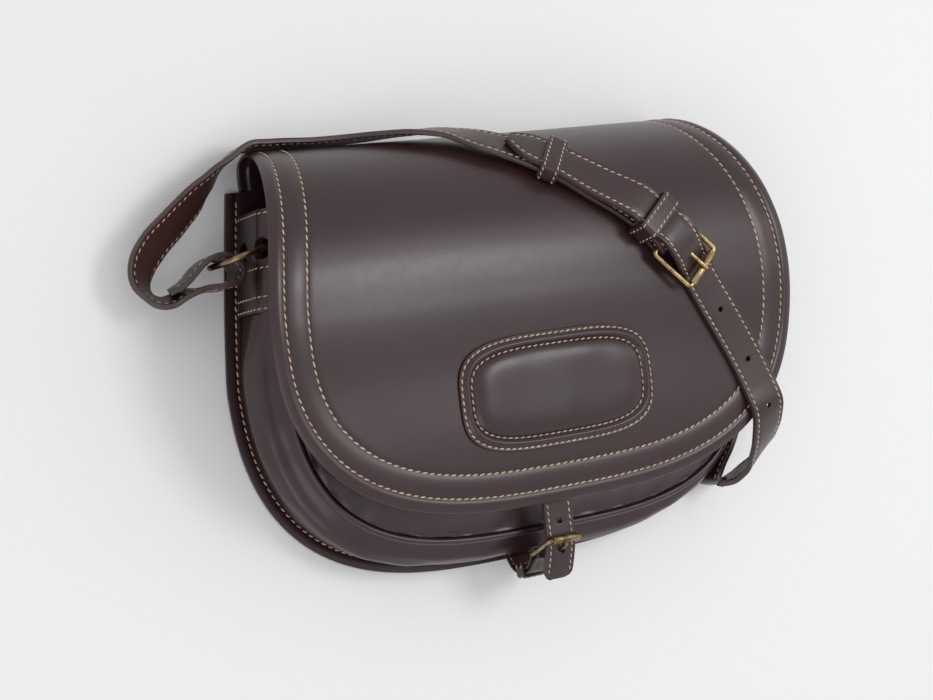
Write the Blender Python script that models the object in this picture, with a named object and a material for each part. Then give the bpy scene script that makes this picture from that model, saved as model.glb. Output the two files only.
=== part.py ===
"""Hunting game bag of smooth leather, lying on its back with its shoulder strap folded over it.

The origin is on the flat underside of the back panel. X runs across the bag, +Y towards the top
fold and +Z out of the front. Named sizes are in millimetres and meshes are made in metres.
"""
import math

import bmesh
import bpy
from mathutils import Vector

MM = 0.001
GAP = 0.3

# Back panel: a round-bottomed sheet, widest a little above its middle
BACK_HALF_WIDTH = 184.0
BACK_WIDEST_Y = 5.0
BACK_BOTTOM_Y = -125.0
BACK_TOP_Y = 126.0
BACK_TOP_HALF_WIDTH = 166.0
BACK_WALL = 3.0
SIDE_CURVE = 1.2
ROUND_POWER_Y = 2.4
ROUND_POWER_X = 3.3

# Flap: one sheet from the back seam, round the fold and down over the front
FLAP_WALL = 2.8
FLAP_TIP = -9.0
FLAP_WIDEST = 115.0
FLAP_HALF_WIDTH = 186.0
FLAP_FOLD_HALF_WIDTH = 157.0
FLAP_FOLD_AT = 280.0
FLAP_ROUND_POWER_X = 3.0
FLAP_SPINE_PIECES = 150
FLAP_FRONT_ANGLES = (86.5, 82, 76, 69, 61, 52, 42, 31, 24, 18, 12, 7, 0)
FLAP_UPPER_ROWS = (135, 155, 172, 186, 198, 209, 219, 229, 238, 247, 256, 264, 271, 277, 284, 291)
FLAP_SHARES = (-1, -0.86, -0.68, -0.48, -0.25, 0, 0.25, 0.48, 0.68, 0.86, 1)
FLAP_PROFILE = (
    # y, z of the outer face, from the front edge over the fold to the back seam
    (-90.0, 71.6),
    (-50.0, 77.3),
    (-5.0, 81.2),
    (40.0, 87.2),
    (70.0, 87.7),
    (98.0, 81.6),
    (118.0, 70.0),
    (135.0, 51.5),
    (144.5, 31.0),
    (147.0, 15.0),
    (142.5, 4.2),
    (134.0, 0.7),
    (126.4, 0.3),
)

# Gusset: a bellows strip between the back panel and the front panel
GUSSET_WALL = 1.8
GUSSET_TOP_Y = 112.0
GUSSET_FOLDS = (
    # inset from the back outline low down, the same high up, height
    (10.5, 10.5, 3.4),
    (7.5, 10.0, 8.0),
    (5.2, 10.0, 16.0),
    (4.6, 10.0, 25.0),
    (7.5, 10.2, 31.5),
    (15.0, 11.0, 35.0),
    (19.8, 14.0, 39.0),
    (20.2, 19.5, 43.2),
)
BELLOWS_START_Y = 60.0
BELLOWS_FULL_Y = 15.0

# Front panel and the piped welt round it
WELT_INSET = 19.3
WELT_HEIGHT = 46.2
WELT_RADIUS = 2.3
FRONT_INSET = 21.9
FRONT_EDGE_HEIGHT = 47.2
FRONT_WALL = 2.0
FRONT_RISE = 17.5
FRONT_CROWN = 5.0
FRONT_RISE_RUN = 26.0
FRONT_CROWN_START_Y = -60.0
FRONT_CROWN_RUN = 50.0
FRONT_BULGE_POWER = 2.6
FRONT_TOP_Y = 96.0
FRONT_STEPS = (0.15, 1.0, 2.6, 5, 8, 12, 17, 24, 34, 48, 68, 93, 123, 153, 178)
FRONT_SHARES = (-1, -0.96, -0.88, -0.74, -0.55, -0.3, 0, 0.3, 0.55, 0.74, 0.88, 0.96, 1)

# Padded patch on the flap
PATCH_CENTRE = (-0.8, 61.0)
PATCH_HALF = (69.4, 35.4)
PATCH_POWER = 3.6
PATCH_RIM = 2.0
PATCH_PAD = 4.0
PATCH_PAD_RUN = 0.6
PATCH_ANGLES = (84, 74, 63, 50, 36, 20, 0)
PATCH_SHARES = (-1, -0.9, -0.75, -0.4, 0, 0.4, 0.75, 0.9, 1)

# Side tabs with the rings
TAB_WALL = 2.2
TAB_LOW_Y = 50.0
TAB_HIGH_Y = 111.0
TAB_FOLDS = (0, 1, 2, 3, 4, 5, 6)
TAB_SEAT = 0.5
TAB_PIECES = 8
RING_RADIUS = 18.0
RING_WIRE = 1.9
RING_HEIGHT = 28.0
RING_WALL_POINT = (163.4, 87.0)
RING_REACH = 11.2
RING_SLANT = (0.97, 0.24)
RING_PIECES = 24
RING_CUTTER_LENGTH = 26.0
RING_HOLES = (
    # height, half width, half height
    (14.7, 6.2, 6.3),
    (36.5, 6.2, 5.3),
)

# Shoulder strap
STRAP_WIDTH = 25.0
STRAP_WALL = 3.2
STRAP_HOLE_RADIUS = 1.7
STRAP_STEP = 7.0
KEEPER_WIDTH = 12.5
KEEPER_WALL = 1.8
KEEPER_PLAY = 1.4
KEEPER_SEAT = 0.4
LOW_LIFT = GAP + STRAP_WALL / 2
UNDER_LIFT = LOW_LIFT + KEEPER_WALL + 1.3
OVER_LIFT = UNDER_LIFT + STRAP_WALL + 0.9
TOP_LIFT = OVER_LIFT + STRAP_WALL + 1.0
STRAP_WRAP_ANGLES = (-90, -55, -20, 20, 55, 90)
STRAP_CUTTER_LENGTH = 9.0

# Strap buckle, placed on the flap by its centre (across, along the flap) and pointing downhill
BUCKLE_CENTRE = (96.4, 133.8)
BUCKLE_HEADING = (0.70, -0.71)
BUCKLE_LENGTH = 33.0
BUCKLE_WIDTH = 35.0
BUCKLE_WIRE = 1.6
BUCKLE_ROLLER = 2.5
BUCKLE_BAR_LIFT = 7.9
BUCKLE_ROLLER_LIFT = 9.2
BUCKLE_CORNER = 2.5
ROLLER_END_PLAY = 0.4
TONGUE_WIRE = 1.2
TONGUE_OVERHANG = 1.0
TONGUE_EYE_ANGLES = (-60, -20, 20, 60, 100, 140, 175)
TONGUE_CROSSING = (-1.5, 0.0, 11.0)
TONGUE_OPENING = (18.0, 3.6, 10.0)
BAR_SLOT_AHEAD = 1.0
BAR_SLOT = (12.5, 3.6, 12.0)
ROUND_PIECES = 16

# Closure on the front
CLOSURE_X = -7.0
CLOSURE_WIDTH = 20.0
CLOSURE_WALL = 3.0
CLOSURE_ROLLER_CENTRE = (-113.0, 69.3)
CLOSURE_BAR_CENTRE = (-121.0, 47.0)
CLOSURE_FRAME_WIDTH = 26.0
CLOSURE_WIRE = 1.5
CLOSURE_ROLLER = 2.4
CLOSURE_CORNER = 2.2
CLOSURE_ROLLER_PLAY = 0.5
CLOSURE_TONGUE_WIRE = 1.1
CLOSURE_TONGUE_RISE = 1.5
CLOSURE_TONGUE_OVERHANG = 0.6
CLOSURE_EYE_ANGLES = (-40, -80, -120, -160, 160, 120, 90)
CLOSURE_TONGUE_HOLE = 2.6
CLOSURE_TONGUE_HOLE_SHARE = 0.27
CLOSURE_STEP = 5.0
CLOSURE_FACE = (0.0, 0.15, 1.0)
CLOSURE_HOLE = 3
CLOSURE_PATH = (
    # y, z of the strap's middle line
    (-62.0, 70.5),
    (-76.0, 68.9),
    (-90.0, 66.8),
    (-102.0, 65.6),
    (-113.0, 64.7),
    (-122.0, 61.5),
    (-131.0, 57.0),
    (-137.0, 53.5),
)
CHAPE_WALL = 1.8
CHAPE_PATH = (
    # y, z of the chape's middle line, from the seam to the bar and back inside itself
    (-118.9, 7.8),
    (-123.0, 10.5),
    (-129.5, 15.5),
    (-133.0, 22.5),
    (-133.2, 30.0),
    (-131.8, 37.0),
    (-127.3, 42.6),
    (-124.1, 47.0),
    (-123.2, 49.2),
    (-121.0, 50.1),
    (-118.8, 49.2),
    (-117.9, 47.0),
    (-119.4, 43.9),
    (-124.6, 40.0),
    (-129.2, 34.6),
    (-130.4, 30.0),
    (-130.4, 23.0),
)
CHAPE_WIDTH = 19.0
CHAPE_STEP = 2.0
CHAPE_SLOT = (3.4, 13.0, 11.0)
CHAPE_KEEPER_CENTRE = (-131.8, 27.8)
CHAPE_KEEPER_WIDTH = 8.0
CHAPE_KEEPER_WALL = 1.5
CHAPE_KEEPER_PLAY = 0.8

LEFT_LOOP = (
    # x, y, z of the strap's middle, then the way its inner face looks
    (-217.5, 68.8, 20.0, 0.35, -0.94, 0.0),
    (-209.0, 73.2, 23.2, 0.50, -0.87, 0.0),
    (-203.0, 78.9, 25.5, 0.60, -0.80, 0.0),
    (-196.5, 83.8, 27.0, 0.20, -0.98, 0.0),
    (-187.5, 86.0, 27.5, -0.12, -0.99, 0.0),
    (-181.0, 83.6, 27.5, -0.60, -0.80, 0.0),
    (-176.2, 77.0, 27.5, -1.00, 0.00, 0.0),
    (-179.6, 69.8, 27.5, -0.60, 0.80, 0.0),
    (-187.6, 67.8, 27.5, 0.00, 1.00, 0.0),
    (-197.0, 68.0, 25.0, -0.05, 1.00, 0.0),
    (-206.5, 67.0, 23.5, -0.28, 0.95, 0.10),
    (-214.5, 64.2, 20.0, -0.25, 0.93, 0.25),
    (-222.5, 63.5, 17.5, 0.10, 0.95, 0.30),
    (-229.0, 68.5, 15.0, 0.60, 0.72, 0.35),
    (-232.0, 77.0, 14.8, 0.72, 0.10, 0.68),
    (-229.8, 87.0, 16.2, 0.55, -0.30, 0.78),
    (-223.0, 96.5, 18.0, 0.36, -0.50, 0.79),
    (-210.0, 108.0, 19.5, 0.38, -0.54, 0.75),
    (-196.0, 119.8, 20.0, 0.42, -0.60, 0.68),
    (-182.0, 131.8, 18.8, 0.52, -0.74, 0.42),
    (-168.0, 143.4, 16.4, 0.44, -0.88, 0.10),
    (-156.0, 150.9, 14.8, 0.22, -0.97, 0.05),
    (-142.0, 151.6, 14.0, 0.00, -1.00, 0.03),
    (-110.0, 150.6, 14.6, 0.00, -1.00, 0.02),
    (-78.0, 150.8, 20.5, 0.00, -1.00, -0.02),
    (-54.0, 150.0, 32.0, 0.00, -1.00, -0.10),
    (-33.0, 146.5, 44.5, 0.00, -0.96, -0.28),
)
STRAP_UNDER_ROUTE = (
    # across the flap, along the flap, lift of the middle of the strap
    (-13.0, 222.0, 6.4),
    (3.0, 212.0, UNDER_LIFT + 0.5),
    (21.0, 200.0, UNDER_LIFT),
    (48.0, 178.5, UNDER_LIFT),
    (66.0, 166.0, UNDER_LIFT),
    (76.8, 155.4, UNDER_LIFT + 0.5),
)
STRAP_TAIL_ROUTE = (
    (76.8, 155.4, OVER_LIFT),
    (70.5, 161.6, OVER_LIFT),
)
STRAP_OVER_ROUTE = (
    (-1.0, 218.5, OVER_LIFT + 1.6),
    (9.0, 209.8, OVER_LIFT + 0.5),
    (21.0, 200.0, OVER_LIFT),
    (48.0, 178.5, OVER_LIFT + 0.7),
    (57.0, 172.2, OVER_LIFT + 2.6),
    (66.0, 166.0, TOP_LIFT),
    (76.8, 155.4, TOP_LIFT),
    (86.5, 146.0, TOP_LIFT + 3.2),
    (93.5, 137.0, TOP_LIFT + 1.8),
    (101.0, 129.2, 8.6),
    (108.0, 121.5, 3.1),
    (114.5, 110.5, LOW_LIFT),
    (124.0, 94.5, LOW_LIFT),
    (134.0, 77.0, LOW_LIFT),
    (142.5, 60.0, LOW_LIFT),
    (149.3, 43.0, LOW_LIFT + 0.9),
    (153.8, 28.5, LOW_LIFT + 2.2),
)
KEEPERS = (
    # row of the under route, lift of the strap's top layer there
    (2, OVER_LIFT),
    (5, TOP_LIFT + 0.9),
)
STRAP_HOLES = (12, 14, 16)
RIGHT_LOOP = (
    (158.0, -66.0, 72.5, -0.15, 0.35, -0.92),
    (162.0, -79.0, 59.0, -0.38, 0.62, -0.69),
    (164.0, -90.0, 43.0, -0.62, 0.66, -0.43),
    (160.0, -97.5, 30.0, -0.55, 0.83, -0.15),
    (154.5, -101.0, 21.5, -0.25, 0.95, -0.10),
    (149.5, -101.5, 16.5, 0.15, 0.98, 0.10),
    (145.5, -99.2, 15.9, 0.80, 0.60, 0.0),
    (149.0, -92.6, 15.9, 0.87, -0.48, 0.0),
    (159.5, -79.5, 15.9, 0.82, -0.57, 0.0),
    (171.8, -58.0, 15.9, 0.90, -0.42, 0.0),
    (179.0, -35.0, 15.9, 0.97, -0.22, 0.0),
    (182.0, -8.0, 15.9, 1.00, -0.04, 0.0),
    (182.5, 20.0, 16.2, 1.00, 0.02, 0.0),
    (182.8, 45.0, 18.5, 0.99, 0.03, 0.0),
    (184.0, 57.0, 21.5, 0.99, -0.03, 0.0),
    (181.5, 67.0, 24.0, 0.96, 0.25, 0.0),
    (177.5, 76.0, 27.5, 0.92, 0.38, 0.0),
    (177.6, 85.5, 27.5, 0.90, -0.44, 0.0),
    (184.5, 90.0, 27.5, 0.00, -1.00, 0.0),
    (193.5, 87.0, 27.5, -0.75, -0.66, 0.0),
    (198.0, 78.5, 27.5, -0.99, -0.10, 0.0),
    (196.0, 69.0, 25.0, -0.95, 0.31, 0.0),
    (190.5, 58.0, 23.5, -0.93, 0.37, 0.0),
)

LEATHER = ("bag_leather", (0.055, 0.036, 0.038, 1.0), 0.38, 0.0)
STRAP_LEATHER = ("strap_leather", (0.060, 0.036, 0.035, 1.0), 0.42, 0.0)
BRASS = ("aged_brass", (0.46, 0.33, 0.15, 1.0), 0.36, 1.0)


def clear_scene():
    for item in list(bpy.data.objects):
        bpy.data.objects.remove(item)


def material(look):
    name, colour, roughness, metallic = look
    found = bpy.data.materials.get(name)
    if found:
        return found
    made = bpy.data.materials.new(name)
    made.use_nodes = True
    shader = made.node_tree.nodes["Principled BSDF"]
    shader.inputs["Base Color"].default_value = colour
    shader.inputs["Roughness"].default_value = roughness
    shader.inputs["Metallic"].default_value = metallic
    return made


def add_object(name, data, look):
    item = bpy.data.objects.new(name, data)
    item.data.materials.append(material(look))
    bpy.context.collection.objects.link(item)
    return item


def smoothstep(value):
    value = min(max(value, 0.0), 1.0)
    return value * value * (3.0 - 2.0 * value)


def smooth_rows(rows, step):
    """Rows of numbers joined by a smooth curve; the first three of each row are its position."""
    rows = [Vector(row) for row in rows]
    lengths = [(Vector(b[:3]) - Vector(a[:3])).length for a, b in zip(rows, rows[1:])]
    slopes = [(b - a) / length for a, b, length in zip(rows, rows[1:], lengths)]
    bends = [slopes[0]]
    for before, after, low, high in zip(slopes, slopes[1:], lengths, lengths[1:]):
        bends.append((before * high + after * low) / (low + high))
    bends.append(slopes[-1])
    out = []
    for i, length in enumerate(lengths):
        pieces = max(1, math.ceil(length / step))
        for part in range(pieces):
            t = part / pieces
            start = (1 + 2 * t) * (1 - t) ** 2
            lean = t * (1 - t) * length
            out.append(rows[i] * start + rows[i + 1] * (1 - start)
                       + bends[i] * (lean * (1 - t)) - bends[i + 1] * (lean * t))
    out.append(rows[-1])
    return out


def grid_solid(name, outer, inner, look):
    """Closed sheet between two grids of points, both given as rows in millimetres."""
    mesh = bmesh.new()
    faces = [[[mesh.verts.new(Vector(point) * MM) for point in row] for row in grid]
             for grid in (outer, inner)]
    rows, columns = len(outer), len(outer[0])
    for i in range(rows - 1):
        for j in range(columns - 1):
            for side, grid in enumerate(faces):
                quad = [grid[i][j], grid[i][j + 1], grid[i + 1][j + 1], grid[i + 1][j]]
                mesh.faces.new(quad if side == 0 else quad[::-1])
    edge = [(0, j) for j in range(columns)] + [(i, columns - 1) for i in range(1, rows)]
    edge += [(rows - 1, j) for j in range(columns - 2, -1, -1)] + [(i, 0) for i in range(rows - 2, 0, -1)]
    for (i, j), (k, m) in zip(edge, edge[1:] + edge[:1]):
        mesh.faces.new([faces[0][k][m], faces[0][i][j], faces[1][i][j], faces[1][k][m]])
    bmesh.ops.recalc_face_normals(mesh, faces=mesh.faces)
    data = bpy.data.meshes.new(name)
    mesh.to_mesh(data)
    mesh.free()
    return add_object(name, data, look)


def cut(target, cutter):
    cutter.hide_render = True
    cutter.display_type = "WIRE"
    boolean = target.modifiers.new("cut_" + cutter.name, "BOOLEAN")
    boolean.operation = "DIFFERENCE"
    boolean.object = cutter


def back_half_width(y):
    if y >= BACK_WIDEST_Y:
        share = (y - BACK_WIDEST_Y) / (BACK_TOP_Y - BACK_WIDEST_Y)
        return BACK_HALF_WIDTH - (BACK_HALF_WIDTH - BACK_TOP_HALF_WIDTH) * share ** SIDE_CURVE
    share = (BACK_WIDEST_Y - y) / (BACK_WIDEST_Y - BACK_BOTTOM_Y)
    return BACK_HALF_WIDTH * max(0.0, 1.0 - share ** ROUND_POWER_Y) ** (1.0 / ROUND_POWER_X)


def half_outline(top_y, steps_side, steps_round):
    """Right half of the back outline from top_y down to the middle of the bottom."""
    points = []
    for i in range(steps_side):
        y = top_y + (BACK_WIDEST_Y - top_y) * i / steps_side
        points.append((back_half_width(y), y))
    depth = BACK_WIDEST_Y - BACK_BOTTOM_Y
    for i in range(steps_round + 1):
        turn = math.pi / 2 * i / steps_round
        x = BACK_HALF_WIDTH * math.cos(turn) ** (2.0 / ROUND_POWER_X) if i < steps_round else 0.0
        points.append((x, BACK_WIDEST_Y - depth * math.sin(turn) ** (2.0 / ROUND_POWER_Y)))
    return points


def full_outline(top_y, steps_side=6, steps_round=18):
    """U-shaped path from the left top round the bottom to the right top."""
    right = half_outline(top_y, steps_side, steps_round)
    return [(-x, y) for x, y in right] + [(x, y) for x, y in right[-2::-1]]


def inset_points(path, distance):
    """Path moved to the inside of the U; distance is one number or one for each point."""
    moved = []
    for i, (x, y) in enumerate(path):
        before = path[max(i - 1, 0)]
        after = path[min(i + 1, len(path) - 1)]
        run = Vector((after[0] - before[0], after[1] - before[1])).normalized()
        amount = distance[i] if isinstance(distance, list) else distance
        moved.append((x - run.y * amount, y + run.x * amount))
    return moved


def flap_point(across, along, lift=0.0):
    """Point on the flap's outer face, its normal there, for a place in the flat sheet."""
    share = (along - FLAP_TIP) / (FLAP_END - FLAP_TIP) * (len(FLAP_SPINE) - 1)
    index = min(max(int(share), 0), len(FLAP_SPINE) - 2)
    here = FLAP_SPINE[index].lerp(FLAP_SPINE[index + 1], share - index)
    low = FLAP_SPINE[max(index - 1, 0)]
    high = FLAP_SPINE[min(index + 2, len(FLAP_SPINE) - 1)]
    run = (high - low).normalized()
    normal = Vector((0.0, -run.y, run.x))
    return Vector((across, here.x, here.y)) + normal * lift, normal


def flap_spine():
    """Evenly spaced points of the flap's profile, measured along the leather."""
    fine = smooth_rows([row + (0.0,) for row in FLAP_PROFILE], 2.0)
    lengths = [0.0]
    for a, b in zip(fine, fine[1:]):
        lengths.append(lengths[-1] + (b - a).length)
    spine = []
    cursor = 0
    for i in range(FLAP_SPINE_PIECES + 1):
        wanted = lengths[-1] * i / FLAP_SPINE_PIECES
        while cursor < len(fine) - 2 and lengths[cursor + 1] < wanted:
            cursor += 1
        part = (wanted - lengths[cursor]) / (lengths[cursor + 1] - lengths[cursor])
        point = fine[cursor].lerp(fine[cursor + 1], min(max(part, 0.0), 1.0))
        spine.append(Vector((point.x, point.y)))
    print("flap length along the leather", round(lengths[-1], 1))
    return spine, FLAP_TIP + lengths[-1]


def flap_half_width(along):
    if along >= FLAP_WIDEST:
        share = smoothstep((along - FLAP_WIDEST) / (FLAP_FOLD_AT - FLAP_WIDEST))
        return FLAP_HALF_WIDTH - (FLAP_HALF_WIDTH - FLAP_FOLD_HALF_WIDTH) * share
    share = (FLAP_WIDEST - along) / (FLAP_WIDEST - FLAP_TIP)
    return FLAP_HALF_WIDTH * max(0.0, 1.0 - share ** ROUND_POWER_Y) ** (1.0 / FLAP_ROUND_POWER_X)


def flap_rows():
    """Places along the flap, closer together in the round front and in the fold."""
    depth = FLAP_WIDEST - FLAP_TIP
    rows = [FLAP_WIDEST - depth * math.sin(math.radians(a)) ** (2.0 / ROUND_POWER_Y)
            for a in FLAP_FRONT_ANGLES]
    return rows + list(FLAP_UPPER_ROWS) + [FLAP_END]


def make_back_panel():
    path = full_outline(BACK_TOP_Y, 6, 20)
    mesh = bmesh.new()
    ring = [mesh.verts.new((x * MM, y * MM, 0.0)) for x, y in path]
    base = mesh.faces.new(ring)
    top = bmesh.ops.extrude_face_region(mesh, geom=[base])
    moved = [item for item in top["geom"] if isinstance(item, bmesh.types.BMVert)]
    bmesh.ops.translate(mesh, verts=moved, vec=(0.0, 0.0, BACK_WALL * MM))
    bmesh.ops.recalc_face_normals(mesh, faces=mesh.faces)
    data = bpy.data.meshes.new("back_panel")
    mesh.to_mesh(data)
    mesh.free()
    return add_object("back_panel", data, LEATHER)


def gusset_inset(row, y):
    full = smoothstep((BELLOWS_START_Y - y) / (BELLOWS_START_Y - BELLOWS_FULL_Y))
    return row[1] + (row[0] - row[1]) * full


def make_gusset():
    path = full_outline(GUSSET_TOP_Y, 14, 18)
    outer, inner = [], []
    for k, row in enumerate(GUSSET_FOLDS):
        below = GUSSET_FOLDS[max(k - 1, 0)]
        above = GUSSET_FOLDS[min(k + 1, len(GUSSET_FOLDS) - 1)]
        insets = [gusset_inset(row, y) for x, y in path]
        outer.append([(x, y, row[2]) for x, y in inset_points(path, insets)])
        deeper, heights = [], []
        for x, y in path:
            run = Vector((gusset_inset(above, y) - gusset_inset(below, y), above[2] - below[2])).normalized()
            deeper.append(gusset_inset(row, y) + run.y * GUSSET_WALL)
            heights.append(row[2] - run.x * GUSSET_WALL if 0 < k < len(GUSSET_FOLDS) - 1 else row[2])
        inner.append([(x, y, z) for (x, y), z in zip(inset_points(path, deeper), heights)])
    return grid_solid("gusset", outer, inner, LEATHER)


def make_welt():
    path = inset_points(full_outline(GUSSET_TOP_Y, 7, 18), WELT_INSET)
    curve = bpy.data.curves.new("front_welt", "CURVE")
    curve.dimensions = "3D"
    spline = curve.splines.new("POLY")
    spline.points.add(len(path) - 1)
    for point, (x, y) in zip(spline.points, path):
        point.co = (x * MM, y * MM, WELT_HEIGHT * MM, 1.0)
    curve.bevel_depth = WELT_RADIUS * MM
    curve.bevel_resolution = 2
    curve.use_fill_caps = True
    return add_object("front_welt", curve, LEATHER)


def front_half_width(y):
    """Half width of the front panel at a height, read off the inset outline."""
    path = inset_points(full_outline(BACK_TOP_Y, 12, 60), FRONT_INSET)
    right = [point for point in path if point[0] >= 0.0]
    right.sort(key=lambda point: point[1])
    for low, high in zip(right, right[1:]):
        if low[1] <= y <= high[1]:
            part = (y - low[1]) / max(high[1] - low[1], 1e-6)
            return low[0] + (high[0] - low[0]) * part
    return right[0][0]


def front_height(share, y):
    bottom = BACK_BOTTOM_Y + FRONT_INSET
    rise = smoothstep((y - bottom) / FRONT_RISE_RUN)
    crown = FRONT_CROWN * smoothstep((y - FRONT_CROWN_START_Y) / FRONT_CROWN_RUN)
    return FRONT_EDGE_HEIGHT + (FRONT_RISE * rise + crown) * (1.0 - abs(share) ** FRONT_BULGE_POWER)


def make_front_panel():
    bottom = BACK_BOTTOM_Y + FRONT_INSET
    rows = [bottom + step for step in FRONT_STEPS] + [FRONT_TOP_Y]
    outer = [[(share * front_half_width(y), y, front_height(share, y)) for share in FRONT_SHARES] for y in rows]
    inner = [[(x, y, z - FRONT_WALL) for x, y, z in row] for row in outer]
    return grid_solid("front_panel", outer, inner, LEATHER)


def make_flap():
    outer, inner = [], []
    for along in flap_rows():
        width = flap_half_width(along)
        outer.append([flap_point(share * width, along)[0] for share in FLAP_SHARES])
        inner.append([flap_point(share * width, along, -FLAP_WALL)[0] for share in FLAP_SHARES])
    return grid_solid("flap", outer, inner, LEATHER)


def make_patch():
    turns = [math.radians(a) for a in PATCH_ANGLES]
    ups = [math.sin(turn) ** (2.0 / PATCH_POWER) for turn in turns]
    ups = ups + [-up for up in ups[-2::-1]]
    outer, inner = [], []
    for up in ups:
        half = PATCH_HALF[0] * (1.0 - abs(up) ** PATCH_POWER) ** (1.0 / PATCH_POWER)
        along = PATCH_CENTRE[1] - up * PATCH_HALF[1]
        tops, bases = [], []
        for share in PATCH_SHARES:
            pad = smoothstep((1.0 - max(abs(share) ** 3, abs(up) ** 2)) / PATCH_PAD_RUN)
            across = PATCH_CENTRE[0] + share * half
            tops.append(flap_point(across, along, GAP + PATCH_RIM + PATCH_PAD * pad)[0])
            bases.append(flap_point(across, along, GAP)[0])
        outer.append(tops)
        inner.append(bases)
    return grid_solid("patch", outer, inner, LEATHER)


def ring_frame(side):
    """Centre of a ring and its horizontal direction towards the bag."""
    inward = Vector((-side * RING_SLANT[0], RING_SLANT[1], 0.0)).normalized()
    wall = Vector((side * RING_WALL_POINT[0], RING_WALL_POINT[1], RING_HEIGHT))
    return wall - inward * RING_REACH, inward


def ring_hole(side, height, wide, tall):
    bpy.ops.mesh.primitive_cylinder_add(
        vertices=ROUND_PIECES, radius=MM, depth=RING_CUTTER_LENGTH * MM, rotation=(0.0, math.pi / 2, 0.0),
        scale=(tall, wide, 1.0), location=(side * RING_WALL_POINT[0] * MM, RING_WALL_POINT[1] * MM, height * MM))
    hole = bpy.context.object
    hole.name = "ring_hole"
    return hole


def make_side(side, label, gusset):
    rows = [TAB_LOW_Y + (TAB_HIGH_Y - TAB_LOW_Y) * i / TAB_PIECES for i in range(TAB_PIECES + 1)]
    layers = []
    for thickness in (TAB_WALL, 0.0):
        grid = []
        for fold in (GUSSET_FOLDS[index] for index in TAB_FOLDS):
            grid.append([(side * (back_half_width(y) - gusset_inset(fold, y) + TAB_SEAT + thickness),
                          y, fold[2]) for y in rows])
        layers.append(grid)
    tab = grid_solid("side_tab_" + label, layers[0], layers[1], LEATHER)
    centre, inward = ring_frame(side)
    for row in RING_HOLES:
        hole = ring_hole(side, *row)
        cut(tab, hole)
        cut(gusset, hole)
    curve_points = []
    for i in range(RING_PIECES):
        turn = 2 * math.pi * i / RING_PIECES
        curve_points.append(centre + inward * (RING_RADIUS * math.cos(turn))
                            + Vector((0.0, 0.0, RING_RADIUS * math.sin(turn))))
    wire("ring_" + label, curve_points, RING_WIRE, True)


def wire(name, points, radius, closed=False):
    curve = bpy.data.curves.new(name, "CURVE")
    curve.dimensions = "3D"
    spline = curve.splines.new("POLY")
    spline.points.add(len(points) - 1)
    for point, place in zip(spline.points, points):
        point.co = (place[0] * MM, place[1] * MM, place[2] * MM, 1.0)
    spline.use_cyclic_u = closed
    curve.bevel_depth = radius * MM
    curve.bevel_resolution = 2
    curve.use_fill_caps = not closed
    return add_object(name, curve, BRASS)


def ribbon(name, stations, width, wall, look):
    """Flat strap through stations of position and face normal."""
    outer, inner = [], []
    for i, (place, normal) in enumerate(stations):
        before = stations[max(i - 1, 0)][0]
        after = stations[min(i + 1, len(stations) - 1)][0]
        run = (after - before).normalized()
        across = run.cross(normal).normalized()
        face = across.cross(run).normalized()
        halves = (-width / 2, width / 2)
        outer.append([place + across * half + face * wall / 2 for half in halves])
        inner.append([place + across * half - face * wall / 2 for half in halves])
    return grid_solid(name, outer, inner, look)


def stations_from_route(route):
    """Route in flap places turned into rows of position and normal."""
    rows = []
    for across, along, lift in route:
        place, normal = flap_point(across, along, lift)
        rows.append(tuple(place) + tuple(normal))
    return rows


def to_stations(rows, step):
    """Positions and face normals along a route, the two smoothed together."""
    places = smooth_rows([row[:3] for row in rows], step)
    normals = smooth_normals(rows, step)
    return list(zip(places, normals))


def smooth_normals(rows, step):
    normals = []
    for a, b in zip(rows, rows[1:]):
        pieces = max(1, math.ceil((Vector(b[:3]) - Vector(a[:3])).length / step))
        for part in range(pieces):
            mix = smoothstep(part / pieces)
            normals.append(Vector(a[3:]).lerp(Vector(b[3:]), mix).normalized())
    normals.append(Vector(rows[-1][3:]).normalized())
    return normals


def buckle_frame():
    """Local frame of the strap buckle: centre, along the strap, across it, out of the flap."""
    centre, normal = flap_point(*BUCKLE_CENTRE)
    ahead, _ = flap_point(BUCKLE_CENTRE[0] + BUCKLE_HEADING[0], BUCKLE_CENTRE[1] + BUCKLE_HEADING[1])
    along = (ahead - centre).normalized()
    return centre, along, along.cross(normal).normalized(), normal


def in_frame(frame, along, across, lift):
    centre, run, side, normal = frame
    return centre + run * along + side * across + normal * lift


def make_strap_buckle():
    frame = buckle_frame()
    back, front = -BUCKLE_LENGTH / 2, BUCKLE_LENGTH / 2
    half = BUCKLE_WIDTH / 2 - BUCKLE_WIRE
    corners = (
        # along, across, lift
        (back, -half, BUCKLE_BAR_LIFT),
        (back, half, BUCKLE_BAR_LIFT),
        (front, half, BUCKLE_ROLLER_LIFT),
        (front, -half, BUCKLE_ROLLER_LIFT),
    )
    points = rounded_loop([in_frame(frame, *row) for row in corners], BUCKLE_CORNER)
    wire("strap_buckle_frame", points, BUCKLE_WIRE, True)
    reach = half - BUCKLE_CORNER - ROLLER_END_PLAY
    roller = [in_frame(frame, front, side * reach, BUCKLE_ROLLER_LIFT) for side in (-1, 1)]
    tube("strap_buckle_roller", roller[0], roller[1], BUCKLE_WIRE + GAP, BUCKLE_ROLLER)
    prong = tongue_path(BUCKLE_WIRE, TONGUE_WIRE)
    rows = [in_frame(frame, back + a, 0.0, BUCKLE_BAR_LIFT + c) for a, c in prong]
    tip = in_frame(frame, front + TONGUE_OVERHANG, 0.0, BUCKLE_ROLLER_LIFT + BUCKLE_ROLLER + TONGUE_WIRE + GAP)
    wire("strap_buckle_tongue", rows + [tip], TONGUE_WIRE)
    return frame


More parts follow.
